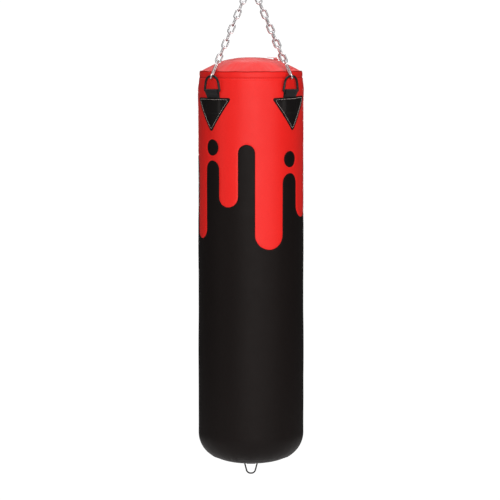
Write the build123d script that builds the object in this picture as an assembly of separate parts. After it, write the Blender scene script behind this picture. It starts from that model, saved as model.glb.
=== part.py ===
"""Hanging heavy bag: a stuffed leather bag on four chain legs, gathered by a shackle under a swivel.

Sizes are in millimetres. The origin is the centre of the swivel's top eye, +Z is up, and the bag hangs
down -Z. The front of the bag faces -Y. Heights along the bag are counted from its rim and are negative
below it.
"""
from build123d import *
import math
import os

# ---------------------------------------------------------------- driving dimensions
# Bag
BAG_R = 160.0            # radius of the stuffed bag
BELLY = 1.0              # how much wider the bag is low down
BELLY_TOP = -400.0       # height where the belly starts
HEM_R = 157.0            # radius of the stitched hem at the rim
HEM_HEIGHT = 27.0
HEM_STITCHES = (-17.5, -23.0)
SHOULDER_Z = -60.0       # height where the hem has widened to the full radius
BASE_Z = -1194.0         # lowest point of the base
BASE_CORNER_R = 82.0     # radius of the stuffed corner round the base
BASE_DOME_R = 430.0      # radius of the slightly bulged base
LEATHER = 2.0
LINER = 12.0
BASE_PANEL_R = 118.0
INSIDE_WALL = 110.0      # a distance from the axis that is inside every layer of the wall
OUTSIDE_WALL = 200.0     # a distance from the axis that is outside the whole bag

# Lid
LID_BREAK_R = 95.0       # where the steep skirt of the lid meets its shallow crown
LID_BREAK_Z = 29.5
LID_TOP_Z = 43.5
LID_DROP = 2.2           # height of the lid's layer
ZIP_HALF_LENGTH = 84.0
TAPE_HALF_WIDTH = 10.0
TEETH_HALF_WIDTH = 2.6
TEETH_PROUD = 1.2
SLIDER_ANGLE = 13.2      # where the closed zip's slider rests, as an angle about the crown's centre
SLIDER_TOP = 4.8         # height of the slider over the lid
SLIDER_LENGTH = 15.0
SLIDER_WIDTH = 13.0
SLIDER_GAP = 0.4         # how far the slider stays clear of the teeth under and beside it
SLIDER_BAR_R = 0.8       # the bar that the pull is hinged on
CHEEK = 2.0              # thickness of each cheek that holds the bar
PULL_EYE_R = 1.8
PULL_NECK = 4.6          # width of the pull's neck
PULL_NECK_LENGTH = 10.0
PULL_TAB_WIDTH = 9.0
PULL_TAB_LENGTH = 19.0
PULL_THICK = 1.2
PULL_TILT = 9.0          # the pull slopes down onto the lid
ZIP_ROUND = 3.0          # rounding of the slider's and the pull's corners

# Drips: each red drip is (left edge, right edge, lowest point), with its edges as angles about the bag,
# from the front, positive towards +X. A black finger fills each gap between two drips, up to its own top.
DRIPS = [(-78.0, -56.8, -502.0), (-37.2, -14.9, -404.0), (3.7, 35.7, -531.0), (56.7, 82.9, -438.0),
         (103.0, 127.0, -470.0), (146.0, 176.0, -520.0), (196.0, 219.0, -400.0), (238.0, 263.0, -480.0)]
FINGER_TOPS = [-265.0, -216.0, -303.0, -250.0, -285.0, -235.0, -300.0, -255.0]
DRIP_LINE = -360.0       # a height above every drip's end and below every finger's end
DOTS = [(-47.0, -226.0), (46.1, -261.0), (136.5, -245.0), (228.5, -259.0)]
DOT_R = 24.5

# D-rings, straps and patches, at four corners
CORNERS = {"front_left": -45.0, "front_right": 45.0, "back_right": 135.0, "back_left": -135.0}
RING_WIRE_R = 3.5
RING_BAR_Z = -57.0       # height of the straight bar
RING_BAR_OUT = 166.3     # distance of the bar from the bag's axis
RING_HALF_WIDTH = 31.5
RING_TIP_HALF_WIDTH = 22.5
RING_HEIGHT = 45.0       # bar to tip, on the wire's centre line
RING_LEAN = 1.7          # how far the tip stands further out than the bar
RING_TIP_R = 24.0
RING_BEND_R = 4.0        # bend at each end of a ring's bar
STRAP_WIDTH = 50.0
WEBBING = 2.4
STRAP_BOTTOM = -122.0
LOOP_GAP = 0.2           # slack between a webbing loop and the bar inside it
PATCH_TURN = 3.0         # how much nearer to the bag's side a patch lies than its D-ring, in degrees
PATCH_TOP = -75.0
PATCH_APEX = -178.0
PATCH_HALF_WIDTH = 73.0
PATCH_ROUND = 5.0
PATCH_OUT = 168.4        # distance of the patch's face from the bag's axis
STITCH_INSET = 5.0
STITCH = 0.8
STITCH_PROUD = 0.5

# Chain legs: distances run along the leg, from the D-ring's tip
HOOK_WIRE_R = 3.0
HOOK_INNER_LENGTH = 52.0
HOOK_INNER_R = 8.0
HOOK_TURN = 11.0         # how far the hook's plane is turned from fore-and-aft towards its own corner
LINK_WIRE_R = 2.25
LINK_PITCH = 26.0        # inner length of a link
LINK_INNER_R = 5.5
LINK_COUNT = 11
HOOK_SEAT = 0.8          # slack where the hook crosses the D-ring at a slant
PIN_SEAT = 0.5           # slack where the last link crosses the shackle's pin at a slant
PIN_ABOVE_RIM = 270.5
PIN_PLACES = {"front_left": -16.0, "front_right": -7.0, "back_left": 7.0, "back_right": 16.0}
GATE_LOW = 11.0          # the gate spans this stretch of the hook
GATE_HIGH = 37.0
GATE_R = 2.7
GATE_PIN_R = 1.0
TONGUE = 2.2             # thickness of the hook's tongue inside the gate's fork
RUNNING = 0.05           # radial clearance of a running fit

# Shackle
SHACKLE_WIRE_R = 5.0
SHACKLE_HALF_GAP = 23.5
SHACKLE_EAR_R = 9.0
SHACKLE_EAR = 10.0
SHACKLE_ARM = 15.0       # pin to the start of the bow
PIN_R = 4.0
NUT_R = 8.0
NUT_HEIGHT = 7.0
PIN_HEAD = 5.0
PIN_END = 6.0            # how far the pin reaches past its nut
COTTER_PAST_NUT = 2.5
COTTER_R = 1.2
COTTER_LOOP_R = 2.6

# Swivel
EYE_R = 21.0
EYE_BORE_R = 10.0
EYE_THICK = 12.0
EYE_CHAMFER = 1.5
NECK_R = 9.0
CAP_TOP = -34.0
CAP_THICK = 6.0
CAP_CHAMFER = 2.0
SPIGOT = 6.0
HOUSING_R = 25.0
CHAMBER_R = 18.0
HOUSING_FLOOR = 6.0
HOUSING_CHAMFER = 2.5
RACE_THICK = 4.0
BALL_R = 3.0
BALL_CIRCLE_R = 13.0
BALL_COUNT = 10
BALL_SINK = 1.0          # depth of the groove in each race
SPINDLE_R = 7.0
SPINDLE_NUT = 8.0
SPINDLE_NUT_R = 13.0
COLLAR_R = 10.0
COLLAR_CHAMFER = 1.5
COLLAR_GAP = 0.5         # between the spindle's collar and the housing
LOWER_EYE_R = 13.0       # centre line of the spindle's lower eye
LOWER_EYE_WIRE_R = 5.0

# Base loop and ring
BASE_WIRE_R = 2.3
BASE_RING_HALF_WIDTH = 20.0
BASE_RING_TIP_HALF_WIDTH = 11.0
BASE_RING_HEIGHT = 33.6
BASE_RING_TIP_R = 13.0
BASE_STRAP_WIDTH = 26.0
BASE_STRAP_END = 32.0    # how far the strap reaches to each side of the ring
BASE_PATCH_HALF = 45.0
BASE_PATCH = 2.0

# ---------------------------------------------------------------- heights in the row frame
NUT_TOP = CAP_TOP - CAP_THICK - SPIGOT - 2.0
RACE_TOP = NUT_TOP - SPINDLE_NUT
BALL_Z = RACE_TOP - RACE_THICK - BALL_R + BALL_SINK
FLOOR_TOP = BALL_Z - BALL_R + BALL_SINK - RACE_THICK
HOUSING_BOTTOM = FLOOR_TOP - HOUSING_FLOOR
LOWER_EYE_Z = HOUSING_BOTTOM - 6.0 - LOWER_EYE_R - LOWER_EYE_WIRE_R
SWING_Z = LOWER_EYE_Z - LOWER_EYE_R          # centre of the wire that the bow hangs on
BOW_R = SHACKLE_HALF_GAP + SHACKLE_EAR / 2   # centre line of the bow
BOW_TOP_Z = SWING_Z + LOWER_EYE_WIRE_R + SHACKLE_WIRE_R + 0.1
PIN_Z = BOW_TOP_Z - BOW_R - SHACKLE_ARM
RIM_Z = PIN_Z - PIN_ABOVE_RIM

os.makedirs("parts", exist_ok=True)


def save(node, *solids):
    """Write one node's STEP file from its solids."""
    pieces = [solid for shape in solids for solid in shape.solids()]
    shape = pieces[0] if len(pieces) == 1 else Compound(children=pieces)
    export_step(shape, f"parts/{node}.step")


def hang(shape):
    """Move a shape from the bag's own heights, with the rim at 0, into the row frame."""
    return Pos(0, 0, RIM_Z) * shape


def out_at(angle):
    """Turn a shape that faces +X so that it faces out of the bag at this angle from the front."""
    return Rot(0, 0, angle - 90.0)


def point_at(angle, radius, height):
    """A point beside the bag, at an angle from the front."""
    turn = math.radians(angle)
    return Vector(radius * math.sin(turn), -radius * math.cos(turn), height)


def revolved(face):
    return revolve(face, Axis.Z, 360)


def xz_face(*edges):
    return make_face(Plane.XZ * Wire(list(edges)))


def drum(radius, low, high):
    """An upright cylinder about the axis, between two heights."""
    return extrude(Plane.XY.offset(low) * Circle(radius), high - low)


def facing_out(outline):
    """A flat outline, with its height along Y, pushed out along +X right through the wall."""
    plane = Plane(origin=(INSIDE_WALL, 0, 0), x_dir=(0, 1, 0), z_dir=(1, 0, 0))
    return extrude(plane * outline, OUTSIDE_WALL - INSIDE_WALL)


def box(low, high):
    size = [high[i] - low[i] for i in range(3)]
    middle = [(high[i] + low[i]) / 2 for i in range(3)]
    return Pos(*middle) * Box(*size)


def rod(start, end, radius):
    """A round bar between two points."""
    along = end - start
    return extrude(Plane(origin=start, z_dir=along) * Circle(radius), along.length)


def bent_wire(path, radius):
    """Round wire along a path that starts on a straight run."""
    start = path @ 0
    return sweep(Plane(origin=start, z_dir=path % 0) * Circle(radius), path=path)


# ---------------------------------------------------------------- the bag's layers
def lid_outline(drop):
    """The crowned lid's outline from the axis to the top of the hem, lowered by drop."""
    crown_rise = LID_TOP_Z - LID_BREAK_Z
    crown_r = (LID_BREAK_R ** 2 + crown_rise ** 2) / (2 * crown_rise)
    half_angle = math.asin(LID_BREAK_R / crown_r) / 2
    middle = (crown_r * math.sin(half_angle), LID_TOP_Z - crown_r * (1 - math.cos(half_angle)) - drop)
    edge_r = HEM_R - drop * (HEM_R - LID_BREAK_R) / LID_BREAK_Z
    crown = ThreePointArc((0, LID_TOP_Z - drop), middle, (LID_BREAK_R, LID_BREAK_Z - drop))
    skirt = Line((LID_BREAK_R, LID_BREAK_Z - drop), (edge_r, 0))
    return crown, skirt, edge_r


def wall_radius(height):
    """Outer radius of the bag's wall at a height."""
    if height > -HEM_HEIGHT:
        return HEM_R
    if height > SHOULDER_Z:
        part = (-HEM_HEIGHT - height) / (-HEM_HEIGHT - SHOULDER_Z)
        return HEM_R + part * (BAG_R - HEM_R)
    return BAG_R


def wall_outline(inset, top):
    """The wall's outline from a height down to the base's centre, set in by a thickness.

    The corner round the base and the base itself are arcs about fixed centres, so every layer follows
    the one outside it.
    """
    low_r = BAG_R + BELLY
    corner_in = low_r - BASE_CORNER_R
    lean = math.asin(corner_in / (BASE_DOME_R - BASE_CORNER_R))
    dome_centre_z = BASE_Z + BASE_DOME_R
    corner_z = dome_centre_z - (BASE_DOME_R - BASE_CORNER_R) * math.cos(lean)
    corner_r = BASE_CORNER_R - inset
    dome_r = BASE_DOME_R - inset
    points = [(wall_radius(top) - inset, top)]
    if top >= -HEM_HEIGHT:
        if top > -HEM_HEIGHT:
            points.append((HEM_R - inset, -HEM_HEIGHT))
        points.append((BAG_R - inset, SHOULDER_Z))
    points += [(BAG_R - inset, BELLY_TOP), (low_r - inset, corner_z)]
    half = (math.pi / 2 + lean) / 2
    corner_mid = (corner_in + corner_r * math.sin(half), corner_z - corner_r * math.cos(half))
    corner_end = (dome_r * math.sin(lean), dome_centre_z - dome_r * math.cos(lean))
    dome_mid = (dome_r * math.sin(lean / 2), dome_centre_z - dome_r * math.cos(lean / 2))
    edges = [Line(a, b) for a, b in zip(points, points[1:])]
    edges.append(ThreePointArc(points[-1], corner_mid, corner_end))
    edges.append(ThreePointArc(corner_end, dome_mid, (0, BASE_Z + inset)))
    return edges, points[0], (0, BASE_Z + inset)


def layer_outline(inset, top):
    """A closed outline of everything inside one layer of the wall, below a height."""
    edges, first, last = wall_outline(inset, top)
    return xz_face(Line((0, top), first), *edges, Line(last, (0, top)))


def wall_layer(outer, inner, top):
    return revolved(layer_outline(outer, top)) - revolved(layer_outline(inner, top))


def lid_layer():
    outer_crown, outer_skirt, outer_r = lid_outline(0)
    inner_crown, inner_skirt, inner_r = lid_outline(LID_DROP)
    under = Line((0, LID_TOP_Z - LID_DROP), (0, LID_TOP_Z))
    foot = Line((outer_r, 0), (inner_r, 0))
    return revolved(xz_face(outer_crown, outer_skirt, foot, inner_skirt, inner_crown, under))


def stuffing():
    crown, skirt, edge_r = lid_outline(LID_DROP)
    inset = LEATHER + LINER
    edges, first, last = wall_outline(inset, 0)
    shelf = Line((edge_r, 0), first)
    return revolved(xz_face(crown, skirt, shelf, *edges, Line(last, (0, LID_TOP_Z - LID_DROP))))


def column(left, right, end, open_end):
    """A prism out of the bag between two angles, from a round end to a straight open end."""
    half_width = BAG_R * math.sin(math.radians(right - left) / 2)
    middle = end + half_width if open_end > end else end - half_width
    tip = Circle(half_width)
    body = Pos(0, (open_end - middle) / 2) * Rectangle(2 * half_width, abs(open_end - middle))
    return out_at((left + right) / 2) * facing_out(Pos(0, middle) * (tip + body))


def black_zone():
    """The space that the black leather fills: all of the bag below the drip line, less the drips, and
    the fingers between them."""
    reach = OUTSIDE_WALL
    zone = box((-reach, -reach, BASE_Z - reach), (reach, reach, DRIP_LINE))
    following = DRIPS[1:] + [(DRIPS[0][0] + 360, 0, 0)]
    for (left, right, end), after, top in zip(DRIPS, following, FINGER_TOPS):
        zone -= column(left, right, end, DRIP_LINE)
        zone += column(right, after[0], top, DRIP_LINE)
    return zone


# ---------------------------------------------------------------- chain legs
class Leg:
    """Directions and distances of one taut chain leg, from its D-ring up to the shackle's pin."""

    def __init__(self, corner):
        angle = CORNERS[corner]
        self.tip = point_at(angle, RING_BAR_OUT + RING_LEAN, RING_BAR_Z + RING_HEIGHT)
        self.end = Vector(0, PIN_PLACES[corner], PIN_ABOVE_RIM)
        self.along = (self.end - self.tip).normalized()
        self.length = (self.end - self.tip).length
        turn = math.copysign(HOOK_TURN if abs(angle) < 90 else 180 - HOOK_TURN, angle)
        inwards = -point_at(turn, 1, 0)
        self.inwards = (inwards - self.along * inwards.dot(self.along)).normalized()
        self.side = self.inwards.cross(self.along)
        hook_top = -RING_WIRE_R - HOOK_SEAT + HOOK_INNER_LENGTH
        last_top = self.length + PIN_R + PIN_SEAT
        self.slack = (hook_top + LINK_COUNT * LINK_PITCH - last_top) / LINK_COUNT
        self.hook_low = -RING_WIRE_R - HOOK_SEAT
        self.hook_high = hook_top

    def at(self, distance, inward=0.0, sideways=0.0):
        return self.tip + self.along * distance + self.inwards * inward + self.side * sideways

    def link(self, number):
        """Link 1 hangs in the hook; the last one is on the pin. Links turn a quarter from one to the next."""
        low = self.hook_high - self.slack + (number - 1) * (LINK_PITCH - self.slack)
        across = self.side if number % 2 else self.inwards
        return loop(self, across, low, low + LINK_PITCH, LINK_INNER_R, LINK_WIRE_R)


def loop(leg, across, low, high, inner_r, wire_r):
    """A closed wire loop with straight sides and round ends, long along the leg."""
    bend = inner_r + wire_r
    middle = leg.at((low + high) / 2)
    plane = Plane(origin=middle, x_dir=leg.along, z_dir=across.cross(leg.along))
    half = (high - low) / 2 - inner_r
    side = Line((-half, bend), (half, bend))
    far_end = ThreePointArc((half, bend), (half + bend, 0), (half, -bend))
    back = Line((half, -bend), (-half, -bend))
    near_end = ThreePointArc((-half, -bend), (-half - bend, 0), (-half, bend))
    return bent_wire(plane * Wire([side, far_end, back, near_end]), wire_r)


def snap_hook(leg):
    """The hook's wire, open on its outer side, with a nose below and a tongue that carries the gate."""
    bend = HOOK_INNER_R + HOOK_WIRE_R
    wire = loop(leg, leg.inwards, leg.hook_low, leg.hook_high, HOOK_INNER_R, HOOK_WIRE_R)
    gap_plane = Plane(origin=leg.at(GATE_LOW, -bend), z_dir=leg.along)
    gap = extrude(gap_plane * Rectangle(20, 20, align=Align.CENTER), GATE_HIGH + 4 - GATE_LOW)
    gap -= extrude(Plane(origin=leg.at(0, 0), z_dir=leg.inwards) * Rectangle(200, 200), 40)
    tongue_plane = Plane(origin=leg.at(GATE_HIGH, -bend), x_dir=leg.along, z_dir=leg.side)
    outline = tongue_plane * (Circle(GATE_R - 0.1) + Pos(3.5, 0) * Rectangle(7, 2 * (GATE_R - 0.1)))
    tongue = extrude(outline, TONGUE / 2, both=True)
    hole = extrude(tongue_plane * Circle(GATE_PIN_R + RUNNING), 10, both=True)
    return wire - gap + tongue - hole


def hook_gate(leg):
    """A straight gate with a fork at its upper end, over the hook's tongue."""
    bend = HOOK_INNER_R + HOOK_WIRE_R
    low = leg.at(GATE_LOW + 0.4, -bend)
    bar = rod(low, leg.at(GATE_HIGH, -bend), GATE_R)
    plane = Plane(origin=leg.at(GATE_HIGH, -bend), x_dir=leg.along, z_dir=leg.side)
    head = extrude(plane * Circle(GATE_R), GATE_R, both=True)
    slot_outline = plane * (Circle(GATE_R + 0.3) + Pos(3, 0) * Rectangle(6, 2 * (GATE_R + 0.3)))
    slot = extrude(slot_outline, TONGUE / 2 + 0.1, both=True)
    return bar + head - slot - extrude(plane * Circle(GATE_PIN_R), 10, both=True)


def gate_pin(leg):
    middle = leg.at(GATE_HIGH, -HOOK_INNER_R - HOOK_WIRE_R)
    return rod(middle - leg.side * GATE_R, middle + leg.side * GATE_R, GATE_PIN_R)


def rim_groove(leg):
    """The crease that the hook's inner side presses into the rim and the lid."""
    bend = HOOK_INNER_R + HOOK_WIRE_R
    return rod(leg.at(-4, bend), leg.at(HOOK_INNER_LENGTH, bend), HOOK_WIRE_R + 0.6)


# ---------------------------------------------------------------- D-rings, straps and patches
def wire_ring(half_width, tip_half_width, height, tip_r, wire_r):
    """A wire ring in the XZ plane: a straight bar on the X axis and a round tip at a height."""
    points = [(-half_width, 0), (half_width, 0), (tip_half_width, height), (-tip_half_width, height)]
    path = FilletPolyline(*points, radius=[RING_BEND_R, RING_BEND_R, tip_r, tip_r], close=True)
    plane = Plane(origin=(0, 0, 0), x_dir=(1, 0, 0), z_dir=(0, -1, 0))
    return bent_wire(plane * path, wire_r)


def d_ring(angle):
    ring = wire_ring(RING_HALF_WIDTH, RING_TIP_HALF_WIDTH, RING_HEIGHT, RING_TIP_R, RING_WIRE_R)
    lean = math.degrees(math.atan(RING_LEAN / RING_HEIGHT))
    return out_at(angle) * Pos(RING_BAR_OUT, 0, RING_BAR_Z) * Rot(0, lean, 0) * Rot(0, 0, 90) * ring


def ring_strap(angle):
    """Webbing doubled round the D-ring's bar, with both its ends flat on the wall under the patch."""
    hole_r = RING_WIRE_R + LOOP_GAP
    front = hole_r + WEBBING
    back = BAG_R - 3.0 - RING_BAR_OUT
    flat = BAG_R + 2 * WEBBING + 0.4 - RING_BAR_OUT
    meet = PATCH_TOP + 2 - RING_BAR_Z
    low = STRAP_BOTTOM - RING_BAR_Z
    ends = make_face(Polyline((back, 3), (0, 3), (front, 0), (flat, meet), (flat, low), (back, low), close=True))
    plane = Plane(origin=(RING_BAR_OUT, 0, RING_BAR_Z), x_dir=(1, 0, 0), z_dir=(0, -1, 0))
    strap = extrude(plane * (ends + Circle(front) - Circle(hole_r)), STRAP_WIDTH / 2, both=True)
    return out_at(angle) * strap - Cylinder(BAG_R, 2000)


def triangle(inset):
    """The patch's outline, point down, set in from its edge."""
    half_angle = math.atan(PATCH_HALF_WIDTH / (PATCH_TOP - PATCH_APEX))
    top = PATCH_TOP - inset
    apex = PATCH_APEX + inset / math.sin(half_angle)
    half = (top - apex) * math.tan(half_angle)
    outline = make_face(Polyline((-half, top), (half, top), (0, apex), close=True))
    return fillet(outline.vertices(), PATCH_ROUND - min(inset, PATCH_ROUND - 1))


def tube(inner_r, outer_r, low, high):
    ring = Circle(outer_r) - Circle(inner_r)
    return extrude(Plane.XY.offset(low) * ring, high - low)


def patch_angle(angle):
    """The angle of the patch that belongs to the D-ring at this angle."""
    to_side = 1 if abs(angle) < 90 else -1
    return angle + math.copysign(PATCH_TURN, angle) * to_side


def patch(angle):
    prism = facing_out(triangle(0))
    return out_at(patch_angle(angle)) * prism & tube(BAG_R, PATCH_OUT, PATCH_APEX, PATCH_TOP)


def patch_stitch(angle):
    prism = facing_out(triangle(STITCH_INSET) - triangle(STITCH_INSET + STITCH))
    return out_at(patch_angle(angle)) * prism & tube(PATCH_OUT, PATCH_OUT + STITCH_PROUD, PATCH_APEX, PATCH_TOP)


# ---------------------------------------------------------------- zip
def lid_strip(half_length, half_width):
    """The space above and below part of the lid, about its middle."""
    return box((-half_length, -half_width, -LID_TOP_Z), (half_length, half_width, 2 * LID_TOP_Z))


def zip_parts(lid):
    """The lid's two halves, and the zip between them: two tapes and the closed teeth."""
    slot = lid_strip(ZIP_HALF_LENGTH, TAPE_HALF_WIDTH)
    teeth_space = lid_strip(ZIP_HALF_LENGTH, TEETH_HALF_WIDTH)
    front_space = Pos(0, -OUTSIDE_WALL, 0) * lid_strip(OUTSIDE_WALL, OUTSIDE_WALL)
    back_space = Pos(0, OUTSIDE_WALL, 0) * lid_strip(OUTSIDE_WALL, OUTSIDE_WALL)
    front = lid & front_space - slot
    back = lid & back_space - slot
    teeth = lid & teeth_space
    tapes = (lid & slot) - teeth_space
    return front, back, tapes, teeth + Pos(0, 0, TEETH_PROUD) * teeth


def crown_radius():
    rise = LID_TOP_Z - LID_BREAK_Z
    return (LID_BREAK_R ** 2 + rise ** 2) / (2 * rise)


def on_crown(shape, angle):
    """Carry a shape made at the crown's top along the crown towards +X."""
    centre = LID_TOP_Z - crown_radius()
    return Pos(0, 0, centre) * Rot(0, angle, 0) * Pos(0, 0, -centre) * shape


def bar_height():
    """Height of the slider's bar over the lid's origin, at the crown's top."""
    return LID_TOP_Z + SLIDER_TOP + PULL_EYE_R + 0.3


def slider_bar(radius, width):
    """A round bar across the slider, where its pull is hinged."""
    middle = Vector(0, 0, bar_height())
    return rod(middle - Vector(0, width / 2, 0), middle + Vector(0, width / 2, 0), radius)


def zip_slider():
    low, high = LID_TOP_Z + SLIDER_GAP, LID_TOP_Z + SLIDER_TOP
    body = Pos(0, 0, (low + high) / 2) * Box(SLIDER_LENGTH, SLIDER_WIDTH, high - low)
    body = fillet(body.edges().filter_by(Axis.Z), ZIP_ROUND)
    channel_top = TEETH_PROUD + SLIDER_GAP + 0.2
    channel = Pos(0, 0, LID_TOP_Z + channel_top / 2)
    channel *= Box(2 * SLIDER_LENGTH, 2 * (TEETH_HALF_WIDTH + SLIDER_GAP), channel_top)
    bridge = slider_bar(SLIDER_BAR_R, PULL_NECK + 2 * CHEEK)
    cheek_height = bar_height() + SLIDER_BAR_R - high
    for side in (-1, 1):
        middle = Vector(0, side * (PULL_NECK / 2 + 0.2 + CHEEK / 2), high + cheek_height / 2)
        bridge += Pos(*middle) * Box(2 * CHEEK, CHEEK, cheek_height)
    return on_crown(body - channel + bridge, SLIDER_ANGLE)


def zip_pull():
    """A flat tab hinged on the slider's bar, lying towards the middle of the lid."""
    bar_z = bar_height()
    neck = Pos(-PULL_NECK_LENGTH / 2, 0, bar_z) * Box(PULL_NECK_LENGTH, PULL_NECK, PULL_THICK)
    tab_middle = -PULL_NECK_LENGTH + 1 - PULL_TAB_LENGTH / 2
    tab = Pos(tab_middle, 0, bar_z) * Box(PULL_TAB_LENGTH, PULL_TAB_WIDTH, PULL_THICK)
    tab = fillet(tab.edges().filter_by(Axis.Z), ZIP_ROUND)
    hole = slider_bar(SLIDER_BAR_R + RUNNING, 2 * SLIDER_WIDTH)
    pull = neck + tab + slider_bar(PULL_EYE_R, PULL_NECK) - hole
    tilted = Pos(0, 0, bar_z) * Rot(0, -PULL_TILT, 0) * Pos(0, 0, -bar_z) * pull
    return on_crown(tilted, SLIDER_ANGLE)


# ---------------------------------------------------------------- swivel and shackle
def swivel_eye():
    disc = extrude(Plane.XZ * (Circle(EYE_R) - Circle(EYE_BORE_R)), EYE_THICK / 2, both=True)
    disc = chamfer(disc.edges().filter_by(GeomType.CIRCLE), EYE_CHAMFER)
    neck = rod(Vector(0, 0, CAP_TOP - 1), Vector(0, 0, -EYE_BORE_R - 4), NECK_R)
    neck -= extrude(Plane.XZ * Circle(EYE_BORE_R + 3), 20, both=True)
    cap = drum(HOUSING_R, CAP_TOP - CAP_THICK, CAP_TOP)
    cap = chamfer(cap.edges().group_by(Axis.Z)[-1], CAP_CHAMFER)
    spigot = drum(CHAMBER_R, CAP_TOP - CAP_THICK - SPIGOT, CAP_TOP - CAP_THICK)
    return disc + neck + cap + spigot


def swivel_housing():
    body = drum(HOUSING_R, HOUSING_BOTTOM, CAP_TOP - CAP_THICK)
    body = chamfer(body.edges().group_by(Axis.Z)[0], HOUSING_CHAMFER)
    chamber = drum(CHAMBER_R, FLOOR_TOP, CAP_TOP)
    return body - chamber - drum(SPINDLE_R + RUNNING, HOUSING_BOTTOM - 1, FLOOR_TOP + 1)


def ball_groove():
    return Pos(0, 0, BALL_Z) * Torus(BALL_CIRCLE_R, BALL_R + RUNNING)


def bearing_balls():
    place = Pos(0, 0, BALL_Z) * Pos(BALL_CIRCLE_R, 0, 0)
    return [Rot(0, 0, 360 * i / BALL_COUNT) * place * Sphere(BALL_R) for i in range(BALL_COUNT)]


def spindle():
    eye = Pos(0, 0, LOWER_EYE_Z) * Rot(90, 0, 0) * Torus(LOWER_EYE_R, LOWER_EYE_WIRE_R)
    shaft = drum(SPINDLE_R, LOWER_EYE_Z + LOWER_EYE_R + 1, NUT_TOP)
    collar = drum(COLLAR_R, LOWER_EYE_Z + LOWER_EYE_R + 2, HOUSING_BOTTOM - COLLAR_GAP)
    collar = chamfer(collar.edges().group_by(Axis.Z)[0], COLLAR_CHAMFER)
    return eye + shaft + collar


def hex_nut(plane, across_r, hole_r, height):
    return extrude(plane * (RegularPolygon(across_r, 6) - Circle(hole_r)), height)


def shackle_bow():
    """A bow with straight arms in the YZ plane and a round eye at the foot of each arm."""
    plane = Plane(origin=(0, 0, PIN_Z), x_dir=(0, 1, 0), z_dir=(1, 0, 0))
    arc = ThreePointArc((BOW_R, SHACKLE_ARM), (0, SHACKLE_ARM + BOW_R), (-BOW_R, SHACKLE_ARM))
    path = Wire([Line((BOW_R, 4), (BOW_R, SHACKLE_ARM)), arc, Line((-BOW_R, SHACKLE_ARM), (-BOW_R, 4))])
    bow = bent_wire(plane * path, SHACKLE_WIRE_R)
    for side in (-1, 1):
        start = Vector(0, side * BOW_R - SHACKLE_EAR / 2, PIN_Z)
        bow += rod(start, start + Vector(0, SHACKLE_EAR, 0), SHACKLE_EAR_R)
    reach = BOW_R + SHACKLE_EAR
    return bow - rod(Vector(0, -reach, PIN_Z), Vector(0, reach, PIN_Z), PIN_R + RUNNING)


def shackle_pin():
    outer = BOW_R + SHACKLE_EAR / 2
    pin = rod(Vector(0, -outer, PIN_Z), Vector(0, outer + NUT_HEIGHT + PIN_END, PIN_Z), PIN_R)
    head = rod(Vector(0, -outer - PIN_HEAD, PIN_Z), Vector(0, -outer, PIN_Z), NUT_R)
    head = chamfer(head.edges().group_by(Axis.Y)[0], 1)
    return pin + head - cotter_rod(PIN_R + 1, PIN_R + 1)


def cotter_rod(below, above):
    """The space of the split pin's legs, from below the shackle's pin to above it."""
    y = BOW_R + SHACKLE_EAR / 2 + NUT_HEIGHT + COTTER_PAST_NUT
    return rod(Vector(0, y, PIN_Z - below), Vector(0, y, PIN_Z + above), COTTER_R)


def shackle_cotter():
    """The split pin: both legs as one rod, with its round head above the shackle's pin."""
    y = BOW_R + SHACKLE_EAR / 2 + NUT_HEIGHT + COTTER_PAST_NUT
    head_z = PIN_Z + PIN_R + 3.5
    head = Pos(0, y, head_z) * Rot(90, 0, 0) * Torus(COTTER_LOOP_R, 0.9)
    return cotter_rod(2 * PIN_R, head_z - PIN_Z - COTTER_LOOP_R + 0.5) + head


# ---------------------------------------------------------------- base
def base_fittings():
    """The base patch, the webbing loop under it and the ring that hangs in the loop."""
    hole_r = BASE_WIRE_R + LOOP_GAP
    bar_z = BASE_Z - BASE_PATCH - WEBBING - hole_r
    half = BASE_PATCH_HALF
    inside = revolved(layer_outline(0, DRIP_LINE))
    slab = revolved(layer_outline(-BASE_PATCH, DRIP_LINE)) - inside
    pad = slab & box((-half, -half, BASE_Z - half), (half, half, BASE_Z + half))
    plane = Plane(origin=(0, 0, bar_z), x_dir=(0, 1, 0), z_dir=(1, 0, 0))
    band = Pos(0, hole_r + WEBBING / 2 + 2) * Rectangle(2 * BASE_STRAP_END, WEBBING + 4)
    outline = plane * (Circle(hole_r + WEBBING) + band - Circle(hole_r))
    strap = extrude(outline, BASE_STRAP_WIDTH / 2, both=True) - inside - slab
    ring = wire_ring(BASE_RING_HALF_WIDTH, BASE_RING_TIP_HALF_WIDTH, BASE_RING_HEIGHT, BASE_RING_TIP_R,
                     BASE_WIRE_R)
    return pad, strap, Pos(0, 0, bar_z) * Rot(180, 0, 0) * ring


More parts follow.
